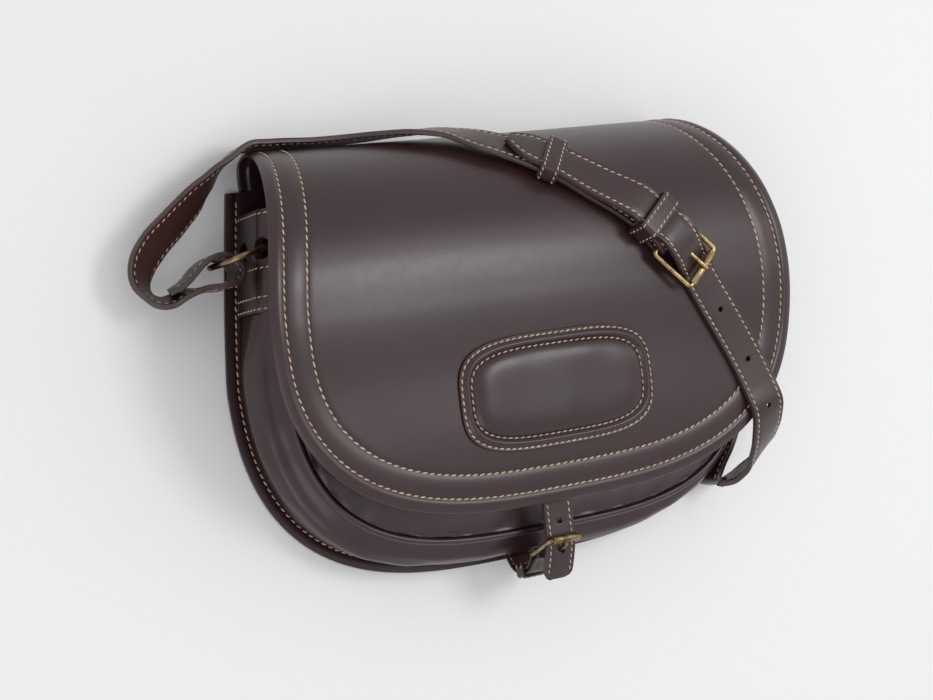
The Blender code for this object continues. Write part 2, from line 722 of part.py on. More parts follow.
def tongue_path(bar, rod):
    """Eye of a tongue round its bar, as places along and above the bar's centre."""
    radius = bar + GAP + rod
    return [(-radius * math.sin(math.radians(a)), -radius * math.cos(math.radians(a)))
            for a in TONGUE_EYE_ANGLES]


def rounded_loop(corners, radius):
    points = []
    count = len(corners)
    for i, here in enumerate(corners):
        back = (corners[i - 1] - here).normalized()
        ahead = (corners[(i + 1) % count] - here).normalized()
        for part in range(4):
            t = part / 3
            points.append(here + back * radius * (1 - t) ** 2 + ahead * radius * t ** 2)
    return points


def tube(name, start, end, inner_radius, outer_radius):
    """Open-ended round sleeve from start to end."""
    run = (end - start)
    direction = run.normalized()
    side = direction.orthogonal().normalized()
    up = direction.cross(side)
    mesh = bmesh.new()
    rings = []
    for place, radius in ((start, inner_radius), (start, outer_radius), (end, outer_radius), (end, inner_radius)):
        ring = []
        for i in range(ROUND_PIECES):
            turn = 2 * math.pi * i / ROUND_PIECES
            spot = place + (side * math.cos(turn) + up * math.sin(turn)) * radius
            ring.append(mesh.verts.new(spot * MM))
        rings.append(ring)
    for a, b in zip(rings, rings[1:] + rings[:1]):
        for i in range(ROUND_PIECES):
            after = (i + 1) % ROUND_PIECES
            mesh.faces.new((a[i], a[after], b[after], b[i]))
    bmesh.ops.recalc_face_normals(mesh, faces=mesh.faces)
    data = bpy.data.meshes.new(name)
    mesh.to_mesh(data)
    mesh.free()
    return add_object(name, data, BRASS)


def strap_wrap_rows(frame):
    """End of the under strap: below the buckle's rear bar, round it and back over itself."""
    back = -BUCKLE_LENGTH / 2
    radius = BUCKLE_WIRE + GAP + STRAP_WALL / 2
    rows = []
    for angle in STRAP_WRAP_ANGLES:
        turn = math.radians(angle)
        place = in_frame(frame, back + radius * math.cos(turn), 0.0, BUCKLE_BAR_LIFT + radius * math.sin(turn))
        inward = frame[1] * -math.cos(turn) - frame[3] * math.sin(turn)
        rows.append(tuple(place) + tuple(inward))
    return rows + [row[:3] + tuple(-Vector(row[3:])) for row in stations_from_route(STRAP_TAIL_ROUTE)]


def make_straps(frame):
    loop = [row[:3] + tuple(-Vector(row[3:])) for row in LEFT_LOOP]
    under = loop + stations_from_route(STRAP_UNDER_ROUTE) + strap_wrap_rows(frame)
    stations = to_stations(under, STRAP_STEP)
    short = ribbon("strap_short", stations, STRAP_WIDTH, STRAP_WALL, STRAP_LEATHER)
    over = stations_from_route(STRAP_OVER_ROUTE)
    right = [row[:3] + tuple(-Vector(row[3:])) for row in RIGHT_LOOP]
    whole = over + right
    long = ribbon("strap_long", to_stations(whole, STRAP_STEP), STRAP_WIDTH, STRAP_WALL, STRAP_LEATHER)
    for index in STRAP_HOLES:
        row = whole[index]
        strap_hole(long, Vector(row[:3]), Vector(row[3:]), STRAP_HOLE_RADIUS)
    block(long, in_frame(frame, *TONGUE_CROSSING), frame[1:], TONGUE_OPENING)
    slot = in_frame(frame, BAR_SLOT_AHEAD - BUCKLE_LENGTH / 2, 0.0, BUCKLE_BAR_LIFT)
    block(short, slot, frame[1:], BAR_SLOT)
    return stations


def strap_hole(strap, place, normal, radius):
    bpy.ops.mesh.primitive_cylinder_add(
        vertices=ROUND_PIECES, radius=radius * MM, depth=STRAP_CUTTER_LENGTH * MM, location=place * MM,
        rotation=normal.to_track_quat("Z", "Y").to_euler())
    cutter = bpy.context.object
    cutter.name = strap.name + "_hole"
    cut(strap, cutter)


def block(target, centre, axes, sizes):
    """Box cutter with given axes and whole sizes."""
    mesh = bmesh.new()
    bmesh.ops.create_cube(mesh, size=1.0)
    for vert in mesh.verts:
        local = vert.co.copy()
        place = centre.copy()
        for axis, size, value in zip(axes, sizes, local):
            place += axis.normalized() * (size * value)
        vert.co = place * MM
    bmesh.ops.recalc_face_normals(mesh, faces=mesh.faces)
    data = bpy.data.meshes.new(target.name + "_slot")
    mesh.to_mesh(data)
    mesh.free()
    cutter = bpy.data.objects.new(target.name + "_slot", data)
    bpy.context.collection.objects.link(cutter)
    cut(target, cutter)


def band(name, corners, axis, width, wall, look):
    """Closed rectangular band round a strap; corners are its middle line, axis runs along the strap."""
    count = len(corners)
    middle = sum(corners, Vector()) / count
    outer, inner = [], []
    for i, here in enumerate(corners):
        before = (here - corners[i - 1]).normalized()
        after = (corners[(i + 1) % count] - here).normalized()
        away = (before - after).normalized() * (wall / 2 * math.sqrt(2))
        if away.dot(here - middle) < 0:
            away = -away
        outer.append(here + away)
        inner.append(here - away)
    mesh = bmesh.new()
    rings = []
    for loop, shift in ((outer, -width / 2), (outer, width / 2), (inner, width / 2), (inner, -width / 2)):
        rings.append([mesh.verts.new((place + axis * shift) * MM) for place in loop])
    for a, b in zip(rings, rings[1:] + rings[:1]):
        for i in range(count):
            mesh.faces.new((a[i], a[(i + 1) % count], b[(i + 1) % count], b[i]))
    bmesh.ops.recalc_face_normals(mesh, faces=mesh.faces)
    data = bpy.data.meshes.new(name)
    mesh.to_mesh(data)
    mesh.free()
    return add_object(name, data, look)


def make_keepers(stations):
    for number, (row, lift) in enumerate(KEEPERS, 1):
        place, _ = flap_point(*STRAP_UNDER_ROUTE[row])
        nearest = min(range(len(stations)), key=lambda k: (stations[k][0] - place).length)
        ahead = stations[nearest + 1][0] - stations[nearest - 1][0]
        centre, normal = flap_point(*STRAP_UNDER_ROUTE[row][:2])
        side = ahead.cross(normal).normalized()
        run = normal.cross(side)
        half = STRAP_WIDTH / 2 + KEEPER_PLAY + KEEPER_WALL / 2
        low = KEEPER_SEAT + KEEPER_WALL / 2
        high = lift + STRAP_WALL / 2 + KEEPER_PLAY + KEEPER_WALL / 2
        corners = [centre + side * a + normal * b
                   for a, b in ((-half, low), (half, low), (half, high), (-half, high))]
        band("strap_keeper_%d" % number, corners, run, KEEPER_WIDTH, KEEPER_WALL, STRAP_LEATHER)


def make_closure():
    route = [(CLOSURE_X, y, z) + CLOSURE_FACE for y, z in CLOSURE_PATH]
    strap = ribbon("closure_strap", to_stations(route, CLOSURE_STEP), CLOSURE_WIDTH, CLOSURE_WALL, STRAP_LEATHER)
    strap_hole(strap, Vector(route[CLOSURE_HOLE][:3]), Vector(CLOSURE_FACE), STRAP_HOLE_RADIUS)
    rows = []
    for i, (y, z) in enumerate(CHAPE_PATH):
        before = CHAPE_PATH[max(i - 1, 0)]
        after = CHAPE_PATH[min(i + 1, len(CHAPE_PATH) - 1)]
        run = Vector((after[0] - before[0], after[1] - before[1])).normalized()
        rows.append((CLOSURE_X, y, z, 0.0, -run.y, run.x))
    chape = ribbon("closure_chape", to_stations(rows, CHAPE_STEP), CHAPE_WIDTH, CHAPE_WALL, STRAP_LEATHER)
    half_x = CHAPE_WIDTH / 2 + GAP + CHAPE_KEEPER_WALL / 2
    half_y = CHAPE_WALL + CHAPE_KEEPER_PLAY + GAP + CHAPE_KEEPER_WALL / 2
    middle = Vector((CLOSURE_X,) + CHAPE_KEEPER_CENTRE)
    corners = [middle + Vector((a * half_x, b * half_y, 0.0)) for a, b in ((-1, -1), (1, -1), (1, 1), (-1, 1))]
    band("closure_keeper", corners, Vector((0.0, 0.0, 1.0)), CHAPE_KEEPER_WIDTH, CHAPE_KEEPER_WALL, STRAP_LEATHER)
    half = CLOSURE_FRAME_WIDTH / 2 - CLOSURE_WIRE
    roller = Vector((CLOSURE_X,) + CLOSURE_ROLLER_CENTRE)
    bar = Vector((CLOSURE_X,) + CLOSURE_BAR_CENTRE)
    wide = Vector((half, 0.0, 0.0))
    corners = [roller - wide, roller + wide, bar + wide, bar - wide]
    wire("closure_buckle_frame", rounded_loop(corners, CLOSURE_CORNER), CLOSURE_WIRE, True)
    shorter = Vector((half - CLOSURE_CORNER - CLOSURE_ROLLER_PLAY, 0.0, 0.0))
    tube("closure_buckle_roller", roller - shorter, roller + shorter, CLOSURE_WIRE + GAP, CLOSURE_ROLLER)
    reach = (roller - bar).normalized()
    front = Vector((0.0, -reach.z, reach.y))
    radius = CLOSURE_WIRE + GAP + CLOSURE_TONGUE_WIRE
    eye = [bar + reach * (radius * math.cos(math.radians(a))) + front * (radius * math.sin(math.radians(a)))
           for a in CLOSURE_EYE_ANGLES]
    rise = bar.lerp(roller, 0.5) + front * (radius + CLOSURE_TONGUE_RISE)
    tip = roller + front * (CLOSURE_ROLLER + CLOSURE_TONGUE_WIRE + GAP) + reach * CLOSURE_TONGUE_OVERHANG
    wire("closure_buckle_tongue", eye + [rise, tip], CLOSURE_TONGUE_WIRE)
    strap_hole(strap, rise.lerp(tip, CLOSURE_TONGUE_HOLE_SHARE), tip - rise, CLOSURE_TONGUE_HOLE)
    block(chape, bar, (Vector((1, 0, 0)), Vector((0, 1, 0)), Vector((0, 0, 1))), CHAPE_SLOT)


def main():
    clear_scene()
    make_back_panel()
    gusset = make_gusset()
    make_welt()
    make_front_panel()
    make_flap()
    make_patch()
    make_side(-1, "left", gusset)
    make_side(1, "right", gusset)
    frame = make_strap_buckle()
    make_keepers(make_straps(frame))
    make_closure()


FLAP_SPINE, FLAP_END = flap_spine()
main()
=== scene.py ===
# %% [markdown]
# # A hunting game bag in smooth leather
# The bag lies on its back with its shoulder strap folded over the flap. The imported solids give
# the size and the place of every piece, and this script dresses them: fine leather sheets with
# rolled rims, rounded strap edges, rows of tan thread and aged brass.

# %% Frame and tools
import itertools
import math
import random

import bmesh
import bpy
from mathutils import Matrix, Vector, noise


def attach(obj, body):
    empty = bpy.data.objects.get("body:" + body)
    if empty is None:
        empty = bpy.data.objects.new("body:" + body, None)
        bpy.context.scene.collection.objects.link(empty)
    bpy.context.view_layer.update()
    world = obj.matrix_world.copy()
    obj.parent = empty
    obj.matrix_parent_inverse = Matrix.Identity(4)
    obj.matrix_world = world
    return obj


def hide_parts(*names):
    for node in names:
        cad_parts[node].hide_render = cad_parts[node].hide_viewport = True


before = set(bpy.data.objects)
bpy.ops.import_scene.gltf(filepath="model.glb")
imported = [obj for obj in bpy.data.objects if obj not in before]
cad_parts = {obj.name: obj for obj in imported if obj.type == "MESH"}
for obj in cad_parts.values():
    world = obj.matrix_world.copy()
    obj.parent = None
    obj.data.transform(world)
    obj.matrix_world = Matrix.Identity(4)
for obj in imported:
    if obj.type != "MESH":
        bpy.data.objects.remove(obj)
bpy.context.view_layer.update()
MM = 0.001
random.seed(7)

# %% [markdown]
# The camera comes first, because every later choice is judged through it. Its place and its
# turn are written as three axes, which is plainer than angles when they come from measuring.

# %% Camera
CAMERA_PLACE = (-0.6103, -0.0127, 1.0643)
CAMERA_RIGHT = (0.8642, -0.1534, 0.4792)
CAMERA_UP = (0.1244, 0.9880, 0.0920)
CAMERA_BACK = (-0.4875, -0.0199, 0.8729)
LENS, SENSOR_WIDTH, NEAREST = 73.07, 36.0, 0.01


def linked(name, data):
    """New object of some data, put in the scene."""
    made = bpy.data.objects.new(name, data)
    bpy.context.collection.objects.link(made)
    return made


camera_data = bpy.data.cameras.new("camera")
camera_data.lens = LENS
camera_data.sensor_width = SENSOR_WIDTH
camera_data.clip_start = NEAREST
camera = linked("camera", camera_data)
turn = Matrix((CAMERA_RIGHT, CAMERA_UP, CAMERA_BACK)).transposed().to_4x4()
camera.matrix_world = Matrix.Translation(CAMERA_PLACE) @ turn
bpy.context.scene.camera = camera
print("camera above the floor", round(CAMERA_PLACE[2], 3), "m")

# %% [markdown]
# A product photo has a pale floor and large soft lamps. Polished leather is nearly black by
# itself, so what we see of it is mostly the lamps' reflections: their size and place matter
# more than their strength.

# %% Floor and light
FLOOR_COLOUR, FLOOR_ROUGHNESS, FLOOR_SIZE, FLOOR_DROP = (0.88, 0.88, 0.88, 1.0), 0.9, 8.0, 0.0004
SKY_COLOUR, SKY_STRENGTH = (0.99, 0.99, 1.0, 1.0), 0.74
LAMPS = (
    # name, place, point that it looks at, size, watts
    ("key_lamp", (0.54, 0.17, 1.28), (-0.08, 0.05, 0.08), 0.42, 4.4),
    ("right_lamp", (1.25, 0.16, 0.95), (0.13, 0.06, 0.07), 0.35, 0.7),
    ("left_lamp", (-0.95, -0.75, 0.95), (-0.1, -0.05, 0.03), 0.8, 2.6),
)


def new_material(name):
    """A material with its node tree and its shader."""
    made = bpy.data.materials.new(name)
    made.use_nodes = True
    return made, made.node_tree, made.node_tree.nodes["Principled BSDF"]


def set_inputs(node, **values):
    """Set inputs of a node; an underscore stands for the space in a socket's name."""
    for name, value in values.items():
        node.inputs[name.replace("_", " ")].default_value = value
    return node


def join(tree, *rows):
    """Link sockets; each row is a node, its output, the next node and its input."""
    for start, output, end, socket in rows:
        tree.links.new(start.outputs[output], end.inputs[socket])


paper, _, paper_shader = new_material("floor_paper")
set_inputs(paper_shader, Base_Color=FLOOR_COLOUR, Roughness=FLOOR_ROUGHNESS)
bpy.ops.mesh.primitive_plane_add(size=FLOOR_SIZE, location=(0.0, 0.0, -FLOOR_DROP))
floor = bpy.context.object
floor.name = "floor"
floor.data.materials.append(paper)
for name, place, target, size, watts in LAMPS:
    lamp_data = bpy.data.lights.new(name, "AREA")
    lamp_data.size = size
    lamp_data.energy = watts
    lamp = linked(name, lamp_data)
    lamp.location = place
    lamp.rotation_euler = (Vector(target) - Vector(place)).to_track_quat("-Z", "Y").to_euler()
world = bpy.data.worlds.new("studio")
world.use_nodes = True
set_inputs(world.node_tree.nodes["Background"], Color=SKY_COLOUR, Strength=SKY_STRENGTH)
bpy.context.scene.world = world
bpy.context.scene.view_settings.view_transform = "Standard"
print("lamps", len(LAMPS))

# %% [markdown]
# Leather grain is a fine net of shallow creases with a slow change of tone from hand to hand.
# Both are wanted on the panels and on the straps, so they are one shader group with named
# sockets, and each material gives it its own scale.

# %% Grain group
PORE_SHARE = 0.45


def new_socket(group, name, direction, kind, value=None):
    made = group.interface.new_socket(name=name, in_out=direction, socket_type=kind)
    if value is not None:
        made.default_value = value


def leather_grain_group():
    group = bpy.data.node_groups.new("leather_grain", "ShaderNodeTree")
    new_socket(group, "Vector", "INPUT", "NodeSocketVector")
    new_socket(group, "Grain Scale", "INPUT", "NodeSocketFloat", 900.0)
    new_socket(group, "Tone Scale", "INPUT", "NodeSocketFloat", 14.0)
    new_socket(group, "Height", "OUTPUT", "NodeSocketFloat")
    new_socket(group, "Tone", "OUTPUT", "NodeSocketFloat")
    new_socket(group, "Wear", "OUTPUT", "NodeSocketFloat")
    start = group.nodes.new("NodeGroupInput")
    end = group.nodes.new("NodeGroupOutput")
    pores = group.nodes.new("ShaderNodeTexVoronoi")
    pores.feature = "DISTANCE_TO_EDGE"
    creases = set_inputs(group.nodes.new("ShaderNodeTexNoise"), Detail=4.0, Roughness=0.6)
    tone = set_inputs(group.nodes.new("ShaderNodeTexNoise"), Detail=3.0, Roughness=0.5)
    wear = set_inputs(group.nodes.new("ShaderNodeTexNoise"), Scale=160.0, Detail=5.0, Roughness=0.7)
    mix = group.nodes.new("ShaderNodeMath")
    mix.operation = "MULTIPLY_ADD"
    mix.inputs[1].default_value = PORE_SHARE
    join(group, *[(start, "Vector", node, "Vector") for node in (pores, creases, tone, wear)])
    join(group, (start, "Grain Scale", pores, "Scale"), (start, "Grain Scale", creases, "Scale"),
         (start, "Tone Scale", tone, "Scale"), (pores, "Distance", mix, 0), (creases, "Fac", mix, 2),
         (mix, 0, end, "Height"), (tone, "Fac", end, "Tone"), (wear, "Fac", end, "Wear"))
    return group


GRAIN = leather_grain_group()
print("grain group sockets", [item.name for item in GRAIN.interface.items_tree])

# %% [markdown]
# One builder makes every leather. The tone runs between a dark and a light shade, the polish is
# broken slightly by the wear noise, and the grain only bends the light by hundredths of a
# millimetre: on smooth leather a deep grain would look like plastic.

# %% Leather materials
def two_tones(tree, dark, light, low, high):
    """Colour ramp from a dark shade to a light one."""
    ramp = tree.nodes.new("ShaderNodeValToRGB")
    for element, position, colour in zip(ramp.color_ramp.elements, (low, high), (dark, light)):
        element.position = position
        element.color = colour
    return ramp


def leather_material(name, dark, light, polish, dull, grain_scale, grain_depth):
    made, tree, shader = new_material(name)
    place = tree.nodes.new("ShaderNodeTexCoord")
    grain = tree.nodes.new("ShaderNodeGroup")
    grain.node_tree = GRAIN
    set_inputs(grain, Grain_Scale=grain_scale)
    ramp = two_tones(tree, dark, light, 0.32, 0.70)
    rough = set_inputs(tree.nodes.new("ShaderNodeMapRange"), From_Min=0.3, From_Max=0.7,
                       To_Min=polish, To_Max=dull)
    bump = set_inputs(tree.nodes.new("ShaderNodeBump"), Distance=grain_depth, Strength=0.5)
    join(tree, (place, "Object", grain, "Vector"), (grain, "Tone", ramp, "Fac"),
         (ramp, "Color", shader, "Base Color"), (grain, "Wear", rough, "Value"),
         (rough, "Result", shader, "Roughness"), (grain, "Height", bump, "Height"),
         (bump, "Normal", shader, "Normal"))
    set_inputs(shader, Specular_IOR_Level=0.55, Coat_Weight=0.10, Coat_Roughness=0.28)
    return made


PANEL = leather_material("panel_leather", (0.024, 0.0085, 0.0100, 1), (0.034, 0.0125, 0.0140, 1),
                         0.32, 0.36, 1100.0, 0.00006)
STRAP = leather_material("strap_leather", (0.026, 0.0105, 0.0115, 1), (0.037, 0.0155, 0.0165, 1),
                         0.34, 0.46, 1000.0, 0.00008)
FLESH = leather_material("strap_lining", (0.036, 0.012, 0.010, 1), (0.050, 0.018, 0.014, 1),
                         0.42, 0.55, 900.0, 0.00010)
# Cut edges: the dark brown is their own colour, the paler brown is a painted highlight of the rounded edge.
EDGE_PAINTED_HIGHLIGHT = leather_material("cut_edge_painted_highlight", (0.030, 0.018, 0.017, 1), (0.060, 0.040, 0.034, 1),
                        0.34, 0.50, 700.0, 0.00012)

# %% [markdown]
# Waxed thread is matt, tan and a little uneven from stitch to stitch. Aged brass is bright
# where hands rub it and brown in its corners, so its colour follows a slow noise.

# %% Thread and brass
def thread_material():
    made, tree, shader = new_material("tan_thread")
    place = tree.nodes.new("ShaderNodeTexCoord")
    shade = set_inputs(tree.nodes.new("ShaderNodeTexNoise"), Scale=140.0, Detail=2.0)
    ramp = two_tones(tree, (0.48, 0.33, 0.20, 1), (0.64, 0.49, 0.34, 1), 0.35, 0.65)
    join(tree, (place, "Object", shade, "Vector"), (shade, "Fac", ramp, "Fac"),
         (ramp, "Color", shader, "Base Color"))
    set_inputs(shader, Roughness=0.7)
    return made


def brass_material(name, dark, bright, polish, dull):
    made, tree, shader = new_material(name)
    place = tree.nodes.new("ShaderNodeTexCoord")
    patina = set_inputs(tree.nodes.new("ShaderNodeTexNoise"), Scale=170.0, Detail=5.0, Roughness=0.6)
    scratches = set_inputs(tree.nodes.new("ShaderNodeTexNoise"), Scale=1500.0, Detail=3.0)
    ramp = two_tones(tree, dark, bright, 0.36, 0.62)
    rough = set_inputs(tree.nodes.new("ShaderNodeMapRange"), To_Min=dull, To_Max=polish)
    bump = set_inputs(tree.nodes.new("ShaderNodeBump"), Distance=0.00004, Strength=0.4)
    join(tree, (place, "Object", patina, "Vector"), (place, "Object", scratches, "Vector"),
         (patina, "Fac", ramp, "Fac"), (patina, "Fac", rough, "Value"),
         (ramp, "Color", shader, "Base Color"), (rough, "Result", shader, "Roughness"),
         (scratches, "Fac", bump, "Height"), (bump, "Normal", shader, "Normal"))
    set_inputs(shader, Metallic=1.0)
    return made


THREAD = thread_material()
BRASS = brass_material("aged_brass", (0.20, 0.125, 0.05, 1), (0.52, 0.39, 0.18, 1), 0.22, 0.42)
BRONZE = brass_material("dark_bronze", (0.10, 0.068, 0.035, 1), (0.34, 0.25, 0.13, 1), 0.25, 0.45)
print("materials", len(bpy.data.materials))

# %% [markdown]
# The bag's outlines are the same named sizes as in the solids, in millimetres. A curve through
# a short table is easier to read and to change than a long list of points.

# %% Named sizes and smooth rows
BACK_HALF_WIDTH, BACK_WIDEST_Y, BACK_BOTTOM_Y = 184.0, 5.0, -125.0
BACK_TOP_Y, BACK_TOP_HALF_WIDTH, BACK_WALL = 126.0, 166.0, 3.0
SIDE_CURVE, ROUND_POWER_Y, ROUND_POWER_X = 1.2, 2.4, 3.3
FLAP_WALL, FLAP_TIP, FLAP_WIDEST = 2.8, -9.0, 115.0
SPINE_PIECES, SPINE_STEP, NORMAL_REACH = 600, 0.5, 6
FLAP_HALF_WIDTH, FLAP_FOLD_HALF_WIDTH, FLAP_FOLD_AT, FLAP_ROUND_POWER_X = 186.0, 157.0, 280.0, 3.0
FLAP_PROFILE = (
    # y, z of the outer face, from the front edge over the fold to the back seam
    (-90.0, 71.6), (-50.0, 77.3), (-5.0, 81.2), (40.0, 87.2), (70.0, 87.7), (98.0, 81.6), (118.0, 70.0),
    (135.0, 51.5), (144.5, 31.0), (147.0, 15.0), (142.5, 4.2), (134.0, 0.7), (126.4, 0.3),
)


def smoothstep(value):
    value = min(max(value, 0.0), 1.0)
    return value * value * (3.0 - 2.0 * value)


def smooth_rows(rows, step):
    """Rows of numbers joined by a smooth curve; the first three of each row are its position."""
    rows = [Vector(row) for row in rows]
    lengths = [(Vector(b[:3]) - Vector(a[:3])).length for a, b in zip(rows, rows[1:])]
    slopes = [(b - a) / length for a, b, length in zip(rows, rows[1:], lengths)]
    bends = [slopes[0]]
    for before, after, low, high in zip(slopes, slopes[1:], lengths, lengths[1:]):
        bends.append((before * high + after * low) / (low + high))
    bends.append(slopes[-1])
    out = []
    for i, length in enumerate(lengths):
        pieces = max(1, math.ceil(length / step))
        for part in range(pieces):
            t = part / pieces
            start = (1 + 2 * t) * (1 - t) ** 2
            lean = t * (1 - t) * length
            out.append(rows[i] * start + rows[i + 1] * (1 - start)
                       + bends[i] * (lean * (1 - t)) - bends[i + 1] * (lean * t))
    out.append(rows[-1])
    return out


def flap_spine():
    """Evenly spaced points of the flap's profile and the flap's length along the leather."""
    fine = smooth_rows([row + (0.0,) for row in FLAP_PROFILE], SPINE_STEP)
    reach = [0.0]
    for a, b in zip(fine, fine[1:]):
        reach.append(reach[-1] + (b - a).length)
    spine, cursor = [], 0
    for i in range(SPINE_PIECES + 1):
        wanted = reach[-1] * i / SPINE_PIECES
        while cursor < len(fine) - 2 and reach[cursor + 1] < wanted:
            cursor += 1
        part = min(max((wanted - reach[cursor]) / (reach[cursor + 1] - reach[cursor]), 0.0), 1.0)
        spine.append(fine[cursor].lerp(fine[cursor + 1], part).to_2d())
    return spine, FLAP_TIP + reach[-1]


FLAP_SPINE, FLAP_END = flap_spine()


def flap_point(across, along, lift=0.0):
    """Point on the flap's outer face in millimetres, and its normal there."""
    share = (along - FLAP_TIP) / (FLAP_END - FLAP_TIP) * (len(FLAP_SPINE) - 1)
    index = min(max(int(share), 0), len(FLAP_SPINE) - 2)
    here = FLAP_SPINE[index].lerp(FLAP_SPINE[index + 1], share - index)
    above = FLAP_SPINE[min(index + NORMAL_REACH + 1, len(FLAP_SPINE) - 1)]
    run = above - FLAP_SPINE[max(index - NORMAL_REACH, 0)]
    normal = Vector((0.0, -run.y, run.x)).normalized()
    return Vector((across, here.x, here.y)) + normal * lift, normal


print("flap length along the leather", round(FLAP_END - FLAP_TIP, 1), "mm")

# %% [markdown]
# Both the flap and the back panel are round-bottomed sheets with a worked rim. A plain grid laid
# over such a sheet cuts across the rim, so the grid's rings are made to follow the outline like
# the mitred bars of a picture frame. Then one profile can roll the edge and press the seams.

# %% Outlines and the rimmed sheet
RIM_SPACING = 0.8
SHARP_ANGLE = math.radians(50)


def side_width(y):
    """Half width of the back panel above its widest place."""
    share = (y - BACK_WIDEST_Y) / (BACK_TOP_Y - BACK_WIDEST_Y)
    return BACK_HALF_WIDTH - (BACK_HALF_WIDTH - BACK_TOP_HALF_WIDTH) * share ** SIDE_CURVE


def back_outline(count=60):
    """Right half of the back panel's outline, from its top to the middle of its bottom."""
    heights = [BACK_TOP_Y + (BACK_WIDEST_Y - BACK_TOP_Y) * i / count for i in range(count)]
    round_part = rounded_quarter(BACK_HALF_WIDTH, BACK_WIDEST_Y, BACK_BOTTOM_Y, ROUND_POWER_X, count)
    return [(side_width(y), y) for y in heights] + round_part


def rounded_quarter(width, high, low, power, count):
    points = []
    for i in range(count + 1):
        angle = math.pi / 2 * i / count
        x = width * math.cos(angle) ** (2.0 / power) if i < count else 0.0
        points.append((x, high - (high - low) * math.sin(angle) ** (2.0 / ROUND_POWER_Y)))
    return points


def flap_outline(count=80):
    """Right half of the flap's outline in the flat leather, from the back seam to the front edge."""
    points = []
    for i in range(count):
        along = FLAP_END + (FLAP_WIDEST - FLAP_END) * i / count
        share = smoothstep((along - FLAP_WIDEST) / (FLAP_FOLD_AT - FLAP_WIDEST))
        points.append((FLAP_HALF_WIDTH - (FLAP_HALF_WIDTH - FLAP_FOLD_HALF_WIDTH) * share, along))
    points += rounded_quarter(FLAP_HALF_WIDTH, FLAP_WIDEST, FLAP_TIP, FLAP_ROUND_POWER_X, count)
    return points


class Rim:
    """The U-shaped edge of a sheet, walked by its length from the left top round to the right top."""

    def __init__(self, half):
        points = [Vector((-x, y)) for x, y in half] + [Vector(point) for point in half[-2::-1]]
        kept = [points[0]]
        for point in points[1:]:
            if (point - kept[-1]).length > RIM_SPACING:
                kept.append(point)
        self.points = kept
        self.reach = [0.0]
        for a, b in zip(kept, kept[1:]):
            self.reach.append(self.reach[-1] + (b - a).length)
        self.length = self.reach[-1]
        self.top = half[0][1]

    def at(self, reach, inset=0.0):
        reach = min(max(reach, 0.0), self.length)
        low, high = 0, len(self.reach) - 1
        while high - low > 1:
            middle = (low + high) // 2
            if self.reach[middle] <= reach:
                low = middle
            else:
                high = middle
        part = (reach - self.reach[low]) / (self.reach[high] - self.reach[low])
        here = self.points[low].lerp(self.points[high], part)
        before = self.points[max(low - 2, 0)]
        after = self.points[min(high + 2, len(self.points) - 1)]
        run = (after - before).normalized()
        return here + Vector((-run.y, run.x)) * inset


def mesh_object(name, mesh):
    """Object of a finished bmesh, shaded smooth."""
    data = bpy.data.meshes.new(name)
    mesh.to_mesh(data)
    mesh.free()
    data.shade_smooth()
    return linked(name, data)


def rimmed_sheet(name, rim, corner, columns, rows, insets, core, place):
    """Sheet on a grid whose rings follow the rim; place turns flat x, y and rim distance into a point."""
    mesh = bmesh.new()
    bmesh.ops.create_grid(mesh, x_segments=columns, y_segments=rows, size=0.5)
    last = len(insets) - 1
    for vert in mesh.verts:
        i = round((vert.co.x + 0.5) * columns)
        j = round((vert.co.y + 0.5) * rows)
        ring = min(i, columns - i, j)
        leg = ring in (i, columns - i)
        if leg:
            up = (j - ring) / (rows - ring)
            reach = corner * (1 - up)
            if i > columns - i:
                reach = rim.length - reach
        else:
            reach = corner + (rim.length - 2 * corner) * (i - ring) / (columns - 2 * ring)
        inset = insets[min(ring, last)]
        spot = rim.at(reach, inset)
        if leg and j == rows:
            spot.y = rim.top
        if ring > last:
            share = (ring - last) / (columns / 2 - last)
            if leg:
                elbow = rim.at(corner, inset).y
                raised = elbow + (core - elbow) * share
                spot.y = raised + (spot.y - elbow) * (rim.top - raised) / (rim.top - elbow)
            else:
                spot.y += (core - spot.y) * share
            spot.x *= 1 - share
            inset += abs(rim.at(reach, inset).x) * share
        vert.co = place(spot.x, spot.y, inset) * MM
    return mesh_object(name, mesh)


def give_wall(piece, thickness, rounding, rim_slot=0, under_slot=0):
    """Thickness and rounded edges for an open sheet."""
    wall = piece.modifiers.new("wall", "SOLIDIFY")
    wall.thickness = thickness * MM
    wall.offset = -1.0
    wall.use_even_offset = True
    wall.material_offset_rim = rim_slot
    wall.material_offset = under_slot
    bevel = piece.modifiers.new("rounded", "BEVEL")
    bevel.width = rounding * MM
    bevel.segments = 2
    bevel.limit_method = "ANGLE"
    bevel.angle_limit = SHARP_ANGLE


def swell(distance, centre, half, height):
    """A low pillow of leather across a rim, nothing outside it."""
    share = (distance - centre) / half
    return height * (1 - share * share) ** 2 if abs(share) < 1 else 0.0


def worked(distance, rows):
    """Swells and furrows added up at a distance from the rim."""
    return sum(swell(distance, *row) for row in rows)


print("edges bevelled past", round(math.degrees(SHARP_ANGLE)), "degrees")

# %% [markdown]
# The flap is one big sheet: rolled and stitched 9 mm from its edge, with a second row about
# 14 mm further in. Leather between two rows of stitches swells a little, and each row lies in
# a groove. Those small heights catch the light along the whole rim, so they are real shape.

